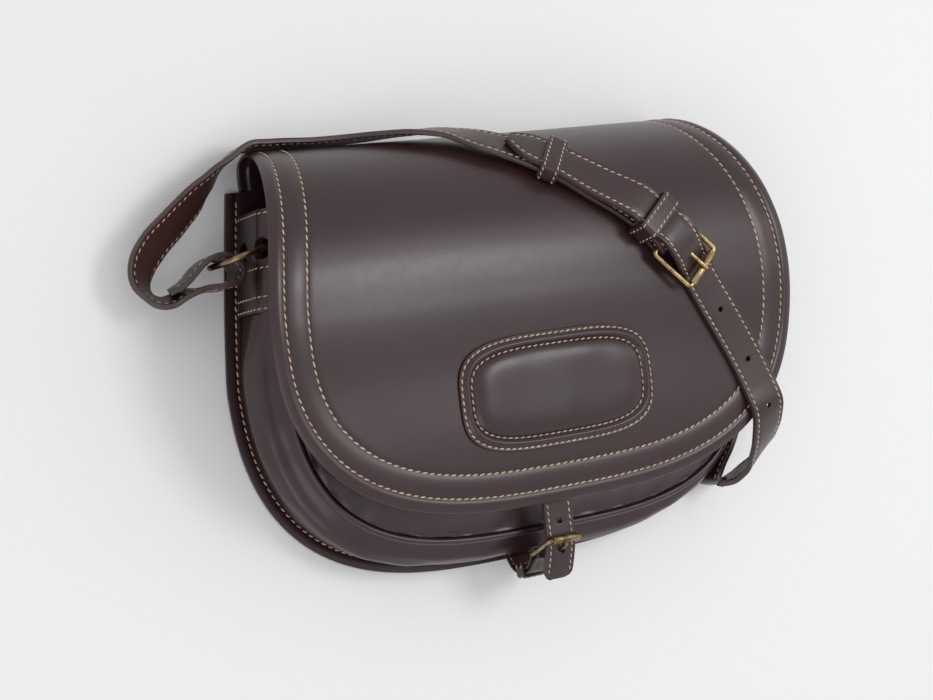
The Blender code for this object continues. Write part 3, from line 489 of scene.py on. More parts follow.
# %% Flap
FLAP_SEAM, FLAP_INNER_SEAM = 9.0, 23.2
FLAP_INSETS = (0.0, 0.6, 1.4, 2.4, 3.6, 5.0, 6.4, 7.6, 8.4, 9.0, 9.6, 10.4, 11.8, 14.0, 16.6, 19.2, 21.0,
               22.2, 23.2, 24.2, 25.6, 28.0, 32.0)
FLAP_RIM = Rim(flap_outline())
FLAP_ROLL, FLAP_ROLL_DROP, FLAP_TRIM, FLAP_BEVEL = 6.5, 1.7, 1.0, 0.8
FLAP_RELIEF = (
    # distance from the rim, half width, height
    (5.2, 3.8, 0.6), (16.0, 7.2, 0.55), (FLAP_SEAM, 1.3, -0.5), (FLAP_INNER_SEAM, 1.6, -0.45),
)
FLAP_WAVE, FLAP_WAVE_START, FLAP_WAVE_RUN = 0.4, 20.0, 60.0
FLAP_CORNER, FLAP_CORE, FLAP_COLUMNS, FLAP_ROWS = 316.0, 92.0, 96, 128


def flap_height(x, along, distance):
    roll = min(distance / FLAP_ROLL, 1.0)
    height = worked(distance, FLAP_RELIEF) - FLAP_ROLL_DROP * (1 - math.sqrt(1 - (1 - roll) ** 2))
    slow = noise.noise(Vector((x * 0.011, along * 0.013, 3.1)))
    return height + FLAP_WAVE * slow * smoothstep((distance - FLAP_WAVE_START) / FLAP_WAVE_RUN)


def place_flap(x, along, distance):
    return flap_point(x, along, flap_height(x, along, distance))[0]


flap = rimmed_sheet("flap_leather", FLAP_RIM, FLAP_CORNER, FLAP_COLUMNS, FLAP_ROWS, FLAP_INSETS,
                    FLAP_CORE, place_flap)
flap.data.materials.append(PANEL)
give_wall(flap, FLAP_WALL - FLAP_TRIM, FLAP_BEVEL)
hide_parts("flap")
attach(flap, "root")
print("flap faces", len(flap.data.polygons), "rim", round(FLAP_RIM.length), "mm")

# %% [markdown]
# The back panel is the same kind of sheet, flat on the floor. All that shows of it is its
# flange: a rolled edge with one row of stitches, and the seam where the gusset joins it.

# %% Back panel
BACK_SEAM, BACK_TRIM, BACK_BEVEL = 7.0, 0.6, 1.1
BACK_INSETS = (0.0, 0.5, 1.2, 2.2, 3.4, 4.8, 6.0, 7.0, 8.0, 9.4, 12.0, 18.0)
BACK_RIM = Rim(back_outline())
BACK_RELIEF = ((3.6, 3.6, 0.35), (BACK_SEAM, 1.2, -0.4))
BACK_CORNER, BACK_CORE, BACK_COLUMNS, BACK_ROWS = 210.0, -20.0, 64, 96


def place_back(x, y, distance):
    return Vector((x, y, BACK_WALL + worked(distance, BACK_RELIEF)))


back = rimmed_sheet("back_leather", BACK_RIM, BACK_CORNER, BACK_COLUMNS, BACK_ROWS, BACK_INSETS,
                    BACK_CORE, place_back)
back.data.materials.append(PANEL)
give_wall(back, BACK_WALL - BACK_TRIM, BACK_BEVEL)
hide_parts("back_panel")
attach(back, "root")
print("back faces", len(back.data.polygons), "rim", round(BACK_RIM.length), "mm")

# %% [markdown]
# Stitches are small separate things, so each is a tiny stretched ball, tipped a little like
# real thread and half sunk in its groove. A row is a walk along the leather at the pitch of the
# pricking iron. One mesh holds a whole row, which keeps the scene light.

# %% Stitches
STITCH_PITCH, THREAD_LENGTH, THREAD_WIDTH = 4.9, 3.9, 1.15
THREAD_LEAN, THREAD_STRETCH, THREAD_FLATNESS = (0.16, 0.26), (0.46, 0.52), 0.42
THREAD_LIFT, FLAP_MARGIN, BACK_MARGIN = 0.12, 10.0, 4.0
UP = Vector((0.0, 0.0, 1.0))


def add_stitch(mesh, place, run, normal, length, width):
    side = normal.cross(run).normalized()
    along = (run + side * random.uniform(*THREAD_LEAN)).normalized()
    side = normal.cross(along).normalized()
    size = (length * random.uniform(*THREAD_STRETCH), width / 2, width * THREAD_FLATNESS)
    axes = Matrix((along * size[0], side * size[1], normal * size[2])).transposed().to_4x4()
    spot = Matrix.Translation(place * MM) @ Matrix.Scale(MM, 4) @ axes
    bmesh.ops.create_uvsphere(mesh, u_segments=6, v_segments=4, radius=1.0,
                              matrix=spot @ Matrix.Rotation(math.pi / 2, 4, "Y"))


def stitch_rows(name, rows, pitch=STITCH_PITCH, length=THREAD_LENGTH, width=THREAD_WIDTH):
    """Thread along each row of finely spaced places and normals, in millimetres."""
    mesh = bmesh.new()
    count = 0
    for row in rows:
        left = pitch * 0.5
        for (a, first), (b, second) in zip(row, row[1:]):
            step = (b - a).length
            while left < step:
                part = left / step
                normal = first.lerp(second, part).normalized()
                add_stitch(mesh, a.lerp(b, part), (b - a).normalized(), normal, length, width)
                left += pitch
                count += 1
            left -= step
    made = mesh_object(name, mesh)
    made.data.materials.append(THREAD)
    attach(made, "root")
    print(name, count, "stitches")


def rim_row(rim, inset, margin, spot_on, step=2.0):
    """Row along a rim that stops a margin short of both its ends."""
    row = []
    for i in range(int((rim.length - 2 * margin) / step) + 1):
        spot = rim.at(margin + i * step, inset)
        row.append(spot_on(spot.x, spot.y, inset))
    return row


def on_flap_rim(x, along, inset):
    return flap_point(x, along, flap_height(x, along, inset) + THREAD_LIFT)


def on_back_rim(x, y, inset):
    return place_back(x, y, inset) + UP * THREAD_LIFT, UP


stitch_rows("flap_thread", [rim_row(FLAP_RIM, seam, FLAP_MARGIN, on_flap_rim)
                            for seam in (FLAP_SEAM, FLAP_INNER_SEAM)])
stitch_rows("back_thread", [rim_row(BACK_RIM, BACK_SEAM, BACK_MARGIN, on_back_rim)])

# %% [markdown]
# The gusset is the bellows between back and front: one soft fold out, one in. The leather was
# sewn round a curve, so it carries small slack waves. They are a slow noise along its length,
# strongest in the loose middle and nothing at the two seams.

# %% Gusset
GUSSET_WALL, GUSSET_BEVEL, GUSSET_TOP_Y = 1.8, 0.4, 112.0
BELLOWS_START_Y, BELLOWS_FULL_Y = 60.0, 15.0
GUSSET_FOLDS = (
    # inset from the back outline low down, the same high up, height
    (10.5, 10.5, 3.4), (7.5, 10.0, 8.0), (5.2, 10.0, 16.0), (4.6, 10.0, 25.0), (7.5, 10.2, 31.5),
    (15.0, 11.0, 35.0), (19.8, 14.0, 39.0), (20.2, 19.5, 43.2),
)
FOLD_STEP, GUSSET_COLUMNS, REACH_STEP = 1.6, 260, 0.5
GUSSET_WAVES = (
    # how fast along the gusset, how fast up it, where the noise starts, depth
    (0.012, 0.16, 7.7, 1.9), (0.06, 0.09, 1.3, 0.8),
)
WAVE_LIFT = 0.4
FOLD_CURVE = smooth_rows([(low, height, high) for low, high, height in GUSSET_FOLDS], FOLD_STEP)


def cropped_reach(rim, top):
    """How far along the rim it first comes down to a height."""
    reach = 0.0
    while rim.at(reach).y > top:
        reach += REACH_STEP
    return reach


def mapped_sheet(name, columns, rows, place):
    """Plain grid whose places come from its column and row, in millimetres."""
    mesh = bmesh.new()
    bmesh.ops.create_grid(mesh, x_segments=columns, y_segments=rows, size=0.5)
    for vert in mesh.verts:
        vert.co = place(round((vert.co.x + 0.5) * columns), round((vert.co.y + 0.5) * rows)) * MM
    return mesh_object(name, mesh)


GUSSET_START = cropped_reach(BACK_RIM, GUSSET_TOP_Y)


def seam_reach(i, pieces):
    """Distance along the back's rim of a division of the gusset's length."""
    return GUSSET_START + (BACK_RIM.length - 2 * GUSSET_START) * i / pieces


def bellows(y):
    """How fully the gusset is folded along the bag: 1 low down, 0 at the tabs."""
    return smoothstep((BELLOWS_START_Y - y) / (BELLOWS_START_Y - BELLOWS_FULL_Y))


def place_gusset(i, level):
    reach = seam_reach(i, GUSSET_COLUMNS)
    low, height, high = FOLD_CURVE[level]
    full = bellows(BACK_RIM.at(reach).y)
    slack = math.sin(math.pi * level / (len(FOLD_CURVE) - 1))
    wave = 0.0
    for fast, rising, start, depth in GUSSET_WAVES:
        wave += noise.noise(Vector((reach * fast, height * rising, start))) * depth * slack
    spot = BACK_RIM.at(reach, high + (low - high) * full - wave * full)
    return Vector((spot.x, spot.y, height + wave * WAVE_LIFT * full))


gusset = mapped_sheet("gusset_leather", GUSSET_COLUMNS, len(FOLD_CURVE) - 1, place_gusset)
gusset.data.materials.append(PANEL)
give_wall(gusset, GUSSET_WALL, GUSSET_BEVEL)
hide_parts("gusset")
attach(gusset, "root")
print("gusset levels", len(FOLD_CURVE))

# %% [markdown]
# Piping is a cord wrapped in leather and caught in the seam. A curve with a round bevel is the
# whole of it, because its path is the outline moved inwards.

# %% Front welt
WELT_INSET, WELT_HEIGHT, WELT_RADIUS = 19.3, 46.2, 2.3
WELT_PIECES, WELT_UNEVENNESS = 240, 0.25


def round_wire(name, points, radius, look, closed=False):
    """Round bar through points in millimetres."""
    data = bpy.data.curves.new(name, "CURVE")
    data.dimensions = "3D"
    spline = data.splines.new("POLY")
    spline.points.add(len(points) - 1)
    for point, place in zip(spline.points, points):
        point.co = (place[0] * MM, place[1] * MM, place[2] * MM, 1.0)
    spline.use_cyclic_u = closed
    spline.use_smooth = True
    data.bevel_depth = radius * MM
    data.bevel_resolution = 4
    data.use_fill_caps = not closed
    data.materials.append(look)
    made = linked(name, data)
    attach(made, "root")
    return made


welt_path = []
for i in range(WELT_PIECES + 1):
    reach = seam_reach(i, WELT_PIECES)
    spot = BACK_RIM.at(reach, WELT_INSET)
    uneven = WELT_UNEVENNESS * noise.noise(Vector((reach * 0.05, 0, 0)))
    welt_path.append((spot.x, spot.y, WELT_HEIGHT + uneven))
welt = round_wire("welt_piping", welt_path, WELT_RADIUS, PANEL)
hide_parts("front_welt")
print("welt points", len(welt_path))

# %% [markdown]
# The front panel is the pouch's domed face. Only a band of it shows below the flap, and there
# the leather is gathered into the piping: short soft folds that run up from the seam and die
# out. A sine along the seam with an uneven pitch, faded by distance, is all that they need.

# %% Front panel
FRONT_INSET, FRONT_EDGE_HEIGHT, FRONT_WALL, FRONT_BEVEL = 21.9, 47.2, 2.0, 0.4
FRONT_RISE, FRONT_CROWN, FRONT_RISE_RUN, FRONT_TOP_Y = 17.5, 5.0, 26.0, 96.0
FRONT_CROWN_START_Y, FRONT_CROWN_RUN, FRONT_BULGE_POWER = -60.0, 50.0, 2.6
FRONT_ROWS, FRONT_COLUMNS, FRONT_ROW_POWER, FRONT_FIRST_ROW = 70, 120, 2.2, 0.1
GATHER_DEPTH, GATHER_RISE, GATHER_FADE, GATHER_PITCH, GATHER_TURN = 0.8, 3.0, 13.0, 0.21, 0.8
HALVINGS = 26
FRONT_BOTTOM = BACK_BOTTOM_Y + FRONT_INSET


def front_edge(y):
    """Half width of the front panel at a height, found by halving on the inset outline."""
    low, high = BACK_RIM.length / 2, BACK_RIM.length
    for _ in range(HALVINGS):
        middle = (low + high) / 2
        if BACK_RIM.at(middle, FRONT_INSET).y < y:
            low = middle
        else:
            high = middle
    return max(BACK_RIM.at(high, FRONT_INSET).x, 0.5)


def front_row_y(j):
    share = j / FRONT_ROWS
    first = FRONT_BOTTOM + FRONT_FIRST_ROW
    return first + (FRONT_TOP_Y - first) * share ** FRONT_ROW_POWER


FRONT_EDGES = [front_edge(front_row_y(j)) for j in range(FRONT_ROWS + 1)]


def place_front(i, j):
    y, edge = front_row_y(j), FRONT_EDGES[j]
    share = math.sin(math.pi * (i / FRONT_COLUMNS - 0.5))
    x = share * edge
    rise = smoothstep((y - FRONT_BOTTOM) / FRONT_RISE_RUN)
    crown = FRONT_CROWN * smoothstep((y - FRONT_CROWN_START_Y) / FRONT_CROWN_RUN)
    height = (FRONT_RISE * rise + crown) * (1.0 - abs(share) ** FRONT_BULGE_POWER)
    inward = min(y - FRONT_BOTTOM, (1 - abs(share)) * edge)
    along = x if abs(share) < GATHER_TURN else x + math.copysign(y - FRONT_BOTTOM, x)
    fold = math.sin(along * GATHER_PITCH + 2.2 * noise.noise(Vector((along * 0.02, 0.0, 4.0))))
    depth = GATHER_DEPTH * smoothstep(inward / GATHER_RISE) * math.exp(-inward / GATHER_FADE)
    return Vector((x, y, FRONT_EDGE_HEIGHT + height + fold * depth))


front = mapped_sheet("front_leather", FRONT_COLUMNS, FRONT_ROWS, place_front)
front.data.materials.append(PANEL)
give_wall(front, FRONT_WALL, FRONT_BEVEL)
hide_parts("front_panel")
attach(front, "root")
print("front panel faces", len(front.data.polygons))

# %% [markdown]
# The patch is a stuffed leather piece with two rows of stitches. Its grid is mapped to rings of
# a rounded rectangle, and one profile by distance from the edge makes everything: the thin skived
# rim, the raised ridge between the rows, the groove and the padded middle.

# %% Patch
PATCH_CENTRE, PATCH_HALF, PATCH_POWER = (-0.8, 61.0), (69.4, 35.4), 3.6
PATCH_SEAT, PATCH_SEAM, PATCH_INNER_SEAM = 0.3, 1.7, 8.1
PATCH_INSETS = (0.0, 0.3, 0.7, 1.2, 1.7, 2.3, 3.1, 4.0, 4.9, 5.8, 6.7, 7.5, 8.1, 8.7, 9.6, 10.8, 12.6,
                15.0, 17.4, 20.0, 23.0)
PATCH_CELLS, PATCH_ROW_PIECES, PATCH_WALL, PATCH_BEVEL = 84, 240, 0.9, 0.3
PATCH_STITCH = dict(pitch=4.3, length=3.4)
PATCH_EDGE, PATCH_EDGE_RISE, PATCH_EDGE_ROLL = 0.8, 0.5, 1.1
PATCH_RELIEF = ((4.9, 3.0, 1.7), (PATCH_SEAM, 1.0, -0.4), (PATCH_INNER_SEAM, 1.6, -0.5))
PAD_HEIGHT, PAD_RUN, PUCKER_RUN, PUCKER_FADE = 3.6, 3.6, 3.0, 14.0


def patch_height(across, along, distance):
    roll = min(distance / PATCH_EDGE_ROLL, 1.0)
    height = PATCH_EDGE + PATCH_EDGE_RISE * math.sqrt(max(1 - (1 - roll) ** 2, 0.0))
    inside = max(distance - PATCH_INNER_SEAM, 0.0)
    height += worked(distance, PATCH_RELIEF) + PAD_HEIGHT * (1 - math.exp(-inside / PAD_RUN))
    pucker = noise.noise(Vector((across * 0.055, along * 0.03, 2.0)))
    return height + pucker * (1 - math.exp(-inside / PUCKER_RUN)) * math.exp(-inside / PUCKER_FADE)


def patch_place(u, v, distance, shrink=0.0):
    """Point of the patch for a place on the edge of a unit square and a distance from the rim."""
    size = (abs(u) ** PATCH_POWER + abs(v) ** PATCH_POWER) ** (-1.0 / PATCH_POWER) * (1 - shrink)
    across = PATCH_CENTRE[0] + (PATCH_HALF[0] - distance) * u * size
    along = PATCH_CENTRE[1] + (PATCH_HALF[1] - distance) * v * size
    depth = distance + (PATCH_HALF[1] - distance) * shrink
    return flap_point(across, along, PATCH_SEAT + patch_height(across, along, depth))


def place_patch(i, j):
    u, v = 2 * i / PATCH_CELLS - 1, 2 * j / PATCH_CELLS - 1
    reach = max(abs(u), abs(v))
    if reach == 0:
        return patch_place(1.0, 0.0, PATCH_INSETS[-1], 1.0)[0]
    ring = round((1 - reach) * PATCH_CELLS / 2)
    last = len(PATCH_INSETS) - 1
    shrink = max(0, ring - last) / (PATCH_CELLS // 2 - last)
    return patch_place(u / reach, v / reach, PATCH_INSETS[min(ring, last)], shrink)[0]


def patch_row(inset):
    row = []
    for i in range(PATCH_ROW_PIECES + 1):
        turn = 2 * math.pi * i / PATCH_ROW_PIECES
        u, v = math.cos(turn), math.sin(turn)
        reach = max(abs(u), abs(v))
        place, normal = patch_place(u / reach, v / reach, inset)
        row.append((place + normal * THREAD_LIFT, normal))
    return row


patch = mapped_sheet("patch_leather", PATCH_CELLS, PATCH_CELLS, place_patch)
patch.data.materials.append(PANEL)
give_wall(patch, PATCH_WALL, PATCH_BEVEL)
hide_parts("patch")
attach(patch, "root")
stitch_rows("patch_thread", [patch_row(seam) for seam in (PATCH_SEAM, PATCH_INNER_SEAM)], **PATCH_STITCH)

# %% [markdown]
# Side tabs are small patches of leather that hold the rings. They follow the gusset's fold
# curve half a millimetre outside it, and an oval hole lets the ring through both leathers.

# %% Side tabs and rings
TAB_WALL, TAB_LOW_Y, TAB_HIGH_Y, TAB_SEAT = 2.2, 50.0, 111.0, 0.5
TAB_TOP_HEIGHT = 39.0
TAB_SEAMS = (
    # y of a row of stitches, fold level where it starts
    (52.0, 1), (59.0, 1), (76.0, 12), (108.3, 1),
)
RING_RADIUS, RING_WIRE, RING_HEIGHT, RING_REACH = 18.0, 1.9, 28.0, 11.2
RING_WALL_POINT, RING_SLANT = (163.4, 87.0), (0.97, 0.24)
RING_HOLES = (
    # height, half width, half height
    (14.7, 6.2, 6.3), (36.5, 6.2, 5.3),
)
TAB_LEVELS = [row for row in FOLD_CURVE if row[2] <= TAB_TOP_HEIGHT + 0.01]
TAB_COLUMNS, TAB_ROLL, TAB_ROLL_DROP, TAB_THREAD_LIFT, TAB_BEVEL = 30, 2.0, 0.5, 0.15, 0.5
TAB_STITCH = dict(pitch=4.2, length=3.2, width=1.0)
OVAL_DEPTH, RING_PIECES = 26, 72


def tab_spot(side, y, level, lift=0.0):
    low, height, high = TAB_LEVELS[level]
    inset = high + (low - high) * bellows(y)
    return Vector((side * (side_width(y) - inset + TAB_SEAT + TAB_WALL + lift), y, height))


def hidden(cutter, name):
    """A cutting shape, named and kept out of the picture."""
    cutter.name = name
    cutter.hide_render = True
    return cutter


def oval_cutter(side, height, wide, tall):
    bpy.ops.mesh.primitive_cylinder_add(
        vertices=32, radius=MM, depth=OVAL_DEPTH * MM,
        rotation=(0.0, math.pi / 2, 0.0), scale=(tall, wide, 1.0),
        location=(side * RING_WALL_POINT[0] * MM, RING_WALL_POINT[1] * MM, height * MM))
    return hidden(bpy.context.object, "ring_hole_cutter")


def cut(piece, cutter):
    hole = piece.modifiers.new("hole", "BOOLEAN")
    hole.operation = "DIFFERENCE"
    hole.object = cutter


def tab_row(side, y, first, last):
    out = Vector((side, 0.0, 0.0))
    return [(tab_spot(side, y, level, TAB_THREAD_LIFT), out) for level in range(first, last + 1)]


def side_place(side):
    def place(i, j):
        share = i / TAB_COLUMNS if side > 0 else 1 - i / TAB_COLUMNS
        y = TAB_LOW_Y + (TAB_HIGH_Y - TAB_LOW_Y) * share
        edge = min(share, 1 - share) * (TAB_HIGH_Y - TAB_LOW_Y)
        return tab_spot(side, y, j, -TAB_ROLL_DROP * (1 - min(edge / TAB_ROLL, 1.0)))
    return place


for side, label in ((-1, "left"), (1, "right")):
    tab = mapped_sheet("tab_%s_leather" % label, TAB_COLUMNS, len(TAB_LEVELS) - 1, side_place(side))
    # The tab's rim gets the cut-edge leather, whose paler brown is a painted highlight.
    for look in (PANEL, EDGE_PAINTED_HIGHLIGHT):
        tab.data.materials.append(look)
    give_wall(tab, TAB_WALL, TAB_BEVEL, rim_slot=1)
    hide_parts("side_tab_" + label)
    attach(tab, "root")
    for row in RING_HOLES:
        cutter = oval_cutter(side, *row)
        cut(tab, cutter)
        cut(gusset, cutter)
    inward = Vector((-side * RING_SLANT[0], RING_SLANT[1], 0.0)).normalized()
    centre = Vector((side * RING_WALL_POINT[0], RING_WALL_POINT[1], RING_HEIGHT)) - inward * RING_REACH
    turns = [2 * math.pi * turn / RING_PIECES for turn in range(RING_PIECES)]
    around = [centre + (inward * math.cos(turn) + UP * math.sin(turn)) * RING_RADIUS for turn in turns]
    ring = round_wire("ring_%s_bronze" % label, around, RING_WIRE, BRONZE, closed=True)
    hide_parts("ring_" + label)
    top = len(TAB_LEVELS) - 2
    stitch_rows("tab_%s_thread" % label,
                [tab_row(side, y, first, top) for y, first in TAB_SEAMS], **TAB_STITCH)

# %% [markdown]
# A strap is a long ribbon through stations, each with a place and the way its face looks. Its
# stitches sit in two shallow furrows near the cut edges, whose paler brown is a painted highlight.

# %% Ribbon tools
STRAP_STEP, CORNER_STEPS = 2.4, 5
FURROW_HALF, FURROW_DEPTH, STRAP_CROWN, STRAP_BEVEL = 1.0, 0.30, 0.15, 0.75
FACE_SEAT, UNDER_SEAT = -0.15, 0.20
BAND_LEVELS, BAND_SEAM, BAND_SEAT, BAND_BEVEL = (-0.5, -0.44, -0.34, 0.0, 0.34, 0.44, 0.5), 0.34, 0.05, 0.45
BAND_STITCH = dict(pitch=4.0, length=3.1, width=0.95)
BAND_MERGE, SLEEVE_MERGE = 0.00001, 0.000001


def smooth_faces(rows, step):
    faces = []
    for a, b in zip(rows, rows[1:]):
        pieces = max(1, math.ceil((Vector(b[:3]) - Vector(a[:3])).length / step))
        for part in range(pieces):
            faces.append(Vector(a[3:]).lerp(Vector(b[3:]), smoothstep(part / pieces)).normalized())
    faces.append(Vector(rows[-1][3:]).normalized())
    return faces


def evened(directions, passes=4):
    """Directions averaged with their neighbours, so that a twist has no sudden start."""
    for _ in range(passes):
        ends = [directions[0]] + directions + [directions[-1]]
        directions = [(a + b * 2 + c).normalized() for a, b, c in zip(ends, ends[1:], ends[2:])]
    return directions


def to_stations(rows, step=STRAP_STEP):
    """Place, across and face directions along a route."""
    places = smooth_rows([row[:3] for row in rows], step)
    stations = []
    for i, (place, face) in enumerate(zip(places, evened(smooth_faces(rows, step)))):
        run = (places[min(i + 1, len(places) - 1)] - places[max(i - 1, 0)]).normalized()
        across = run.cross(face).normalized()
        stations.append((place, across, across.cross(run).normalized(), run))
    return stations


def dressed_strap(made, wall, bevel):
    """Leather, thickness and place in the record for a strap or a band."""
    # Rims get the cut-edge leather, whose paler brown is a painted highlight.
    for look in (STRAP, FLESH, EDGE_PAINTED_HIGHLIGHT):
        made.data.materials.append(look)
    give_wall(made, wall, bevel, rim_slot=2, under_slot=1)
    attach(made, "root")
    return made


def ribbon(name, stations, width, wall, furrow, taper=None):
    """Strap with crowned faces; taper gives the share of its width left at a station."""
    half = width / 2
    insets = (0.0, 0.5, 1.2, furrow - 0.6, furrow, furrow + 0.7, half * 0.55)
    shares = [inset - half for inset in insets] + [0.0] + [half - inset for inset in reversed(insets)]

    def place(i, j):
        spot, across, face, _ = stations[j]
        offset = shares[i] * (taper(j) if taper else 1.0)
        edge = half - abs(shares[i])
        lift = wall / 2 - swell(edge, furrow, FURROW_HALF, FURROW_DEPTH)
        lift += STRAP_CROWN * smoothstep(edge / half)
        return spot + across * offset + face * lift

    made = mapped_sheet(name, len(shares) - 1, len(stations) - 1, place)
    return dressed_strap(made, wall, STRAP_BEVEL)


def ribbon_rows(stations, width, wall, furrow, first, last, faces=(1,), taper=None):
    """Stitch rows near both edges on chosen faces of a strap between two stations."""
    rows = []
    for face_sign, side in itertools.product(faces, (-1, 1)):
        lift = wall / 2 + FACE_SEAT if face_sign > 0 else -wall / 2 - UNDER_SEAT
        row = []
        for j in range(first, len(stations) + last):
            place, across, face, _ = stations[j]
            reach = (width / 2) * (taper(j) if taper else 1.0) - furrow
            row.append((place + across * (side * reach) + face * lift, face * face_sign))
        rows.append(row)
    return rows


def merged(made, gap, middle=None):
    """Join the open edges of a rolled-up grid; faces round a middle are turned to look outward."""
    mesh = bmesh.new()
    mesh.from_mesh(made.data)
    bmesh.ops.remove_doubles(mesh, verts=mesh.verts, dist=gap)
    bmesh.ops.recalc_face_normals(mesh, faces=mesh.faces)
    if middle is not None:
        if max((face.calc_center_median() - middle * MM).dot(face.normal) for face in mesh.faces) < 0:
            bmesh.ops.reverse_faces(mesh, faces=mesh.faces)
    mesh.to_mesh(made.data)
    mesh.free()


def rounded_loop(corners, radius):
    points = []
    for i, here in enumerate(corners):
        back = (corners[i - 1] - here).normalized()
        ahead = (corners[(i + 1) % len(corners)] - here).normalized()
        for part in range(CORNER_STEPS + 1):
            t = part / CORNER_STEPS
            points.append(here + back * radius * (1 - t) ** 2 + ahead * radius * t ** 2)
    return points


def band(name, corners, axis, width, wall, radius):
    """Leather loop round a strap; its grid is closed by merging the first and last columns."""
    path = rounded_loop(corners, radius)
    middle = sum(path, Vector()) / len(path)
    path.append(path[0])

    def outward(before, here, after):
        away = (after - before).cross(axis).normalized()
        return away if away.dot(here - middle) >= 0 else -away

    def place(i, j):
        before, here, after = (path[(i + k) % (len(path) - 1)] for k in (-1, 0, 1))
        return here + outward(before, here, after) * wall / 2 + axis * (BAND_LEVELS[j] * width)

    made = mapped_sheet(name, len(path) - 1, len(BAND_LEVELS) - 1, place)
    merged(made, BAND_MERGE, middle)
    dressed_strap(made, wall, BAND_BEVEL)
    rows = []
    for shift in (-BAND_SEAM, BAND_SEAM):
        row = []
        for i, here in enumerate(path[:-1]):
            away = outward(path[i - 1], here, path[i + 1])
            row.append((here + away * (wall / 2 + BAND_SEAT) + axis * (shift * width), away))
        rows.append(row)
    stitch_rows(name + "_thread", rows, **BAND_STITCH)
    return made


print("ribbon step", STRAP_STEP, "mm")

# %% [markdown]
# The shoulder strap is one long loop in two pieces that meet at its buckle. Most of the tables
# below are places on the flap: across it, along it and how far above it the strap's middle runs.
# The two side loops are plain places, each with the way the strap's inner face looks.

# %% Shoulder strap routes
GAP = 0.3
STRAP_WIDTH, STRAP_WALL, STRAP_FURROW = 25.0, 3.2, 2.6
STRAP_SIZES = (STRAP_WIDTH, STRAP_WALL, STRAP_FURROW)
STRAP_STITCH = dict(pitch=4.6, length=3.6, width=1.0)
KEEPER_WIDTH, KEEPER_WALL, KEEPER_PLAY, KEEPER_SEAT, KEEPER_CORNER = 12.5, 1.8, 1.4, 0.4, 2.6
UNDER_PLAY, OVER_PLAY, TOP_PLAY = 1.3, 0.9, 1.0
LOW_LIFT = GAP + STRAP_WALL / 2
UNDER_LIFT = LOW_LIFT + KEEPER_WALL + UNDER_PLAY
OVER_LIFT = UNDER_LIFT + STRAP_WALL + OVER_PLAY
TOP_LIFT = OVER_LIFT + STRAP_WALL + TOP_PLAY
BUCKLE_CENTRE, BUCKLE_HEADING = (96.4, 133.8), (0.70, -0.71)
BUCKLE_LENGTH, BUCKLE_WIDTH, BUCKLE_WIRE, BUCKLE_ROLLER = 33.0, 35.0, 1.6, 2.5
BUCKLE_BAR_LIFT, BUCKLE_ROLLER_LIFT, TONGUE_WIRE = 7.9, 9.2, 1.2
BUCKLE_CORNER, ROLLER_SHORTER, SLEEVE_SIDES, TONGUE_OVERHANG = 2.5, 2.9, 32, 1.0
SLEEVE_END, SLEEVE_ROUND, SLEEVE_BELLY = 0.3, 0.25, 0.05
BILLET_SLOT_PLACE, BILLET_SLOT = (-1.5, 0.0, 11.0), (18.0, 3.6, 10.0)
BAR_SLOT_SHIFT, BAR_SLOT, DRILL_DEPTH = 1.0, (12.5, 3.6, 12.0), 9
TIP_SHARE, TIP_LENGTH = 0.10, 15.0
LEFT_LOOP = (
    # x, y, z of the strap's middle, then the way its inner face looks
    (-217.5, 68.8, 20.0, 0.35, -0.94, 0.0), (-209.0, 73.2, 23.2, 0.50, -0.87, 0.0),
    (-203.0, 78.9, 25.5, 0.60, -0.80, 0.0), (-196.5, 83.8, 27.0, 0.20, -0.98, 0.0),
    (-187.5, 86.0, 27.5, -0.12, -0.99, 0.0), (-181.0, 83.6, 27.5, -0.60, -0.80, 0.0),
    (-176.2, 77.0, 27.5, -1.00, 0.00, 0.0), (-179.6, 69.8, 27.5, -0.60, 0.80, 0.0),
    (-187.6, 67.8, 27.5, 0.00, 1.00, 0.0), (-197.0, 68.0, 25.0, -0.05, 1.00, 0.0),
    (-206.5, 67.0, 23.5, -0.28, 0.95, 0.10), (-214.5, 64.2, 20.0, -0.25, 0.93, 0.25),
    (-222.5, 63.5, 17.5, 0.10, 0.95, 0.30), (-229.0, 68.5, 15.0, 0.60, 0.72, 0.35),
    (-232.0, 77.0, 14.8, 0.72, 0.10, 0.68), (-229.8, 87.0, 16.2, 0.55, -0.30, 0.78),
    (-223.0, 96.5, 18.0, 0.36, -0.50, 0.79), (-210.0, 108.0, 19.5, 0.38, -0.54, 0.75),
    (-196.0, 119.8, 20.0, 0.42, -0.60, 0.68), (-182.0, 131.8, 18.8, 0.52, -0.74, 0.42),
    (-168.0, 143.4, 16.4, 0.44, -0.88, 0.10), (-156.0, 150.9, 14.8, 0.22, -0.97, 0.05),
    (-142.0, 151.6, 14.0, 0.00, -1.00, 0.03), (-110.0, 150.6, 14.6, 0.00, -1.00, 0.02),
    (-78.0, 150.8, 20.5, 0.00, -1.00, -0.02), (-54.0, 150.0, 32.0, 0.00, -1.00, -0.10),
    (-33.0, 146.5, 44.5, 0.00, -0.96, -0.28),
)
UNDER_ROUTE = (
    # across the flap, along the flap, lift of the middle of the strap
    (-13.0, 222.0, 6.4), (3.0, 212.0, UNDER_LIFT + 0.5), (21.0, 200.0, UNDER_LIFT),
    (48.0, 178.5, UNDER_LIFT), (66.0, 166.0, UNDER_LIFT), (76.8, 155.4, UNDER_LIFT + 0.5),
)
TAIL_ROUTE = (
    (76.8, 155.4, OVER_LIFT), (70.5, 161.6, OVER_LIFT),
)
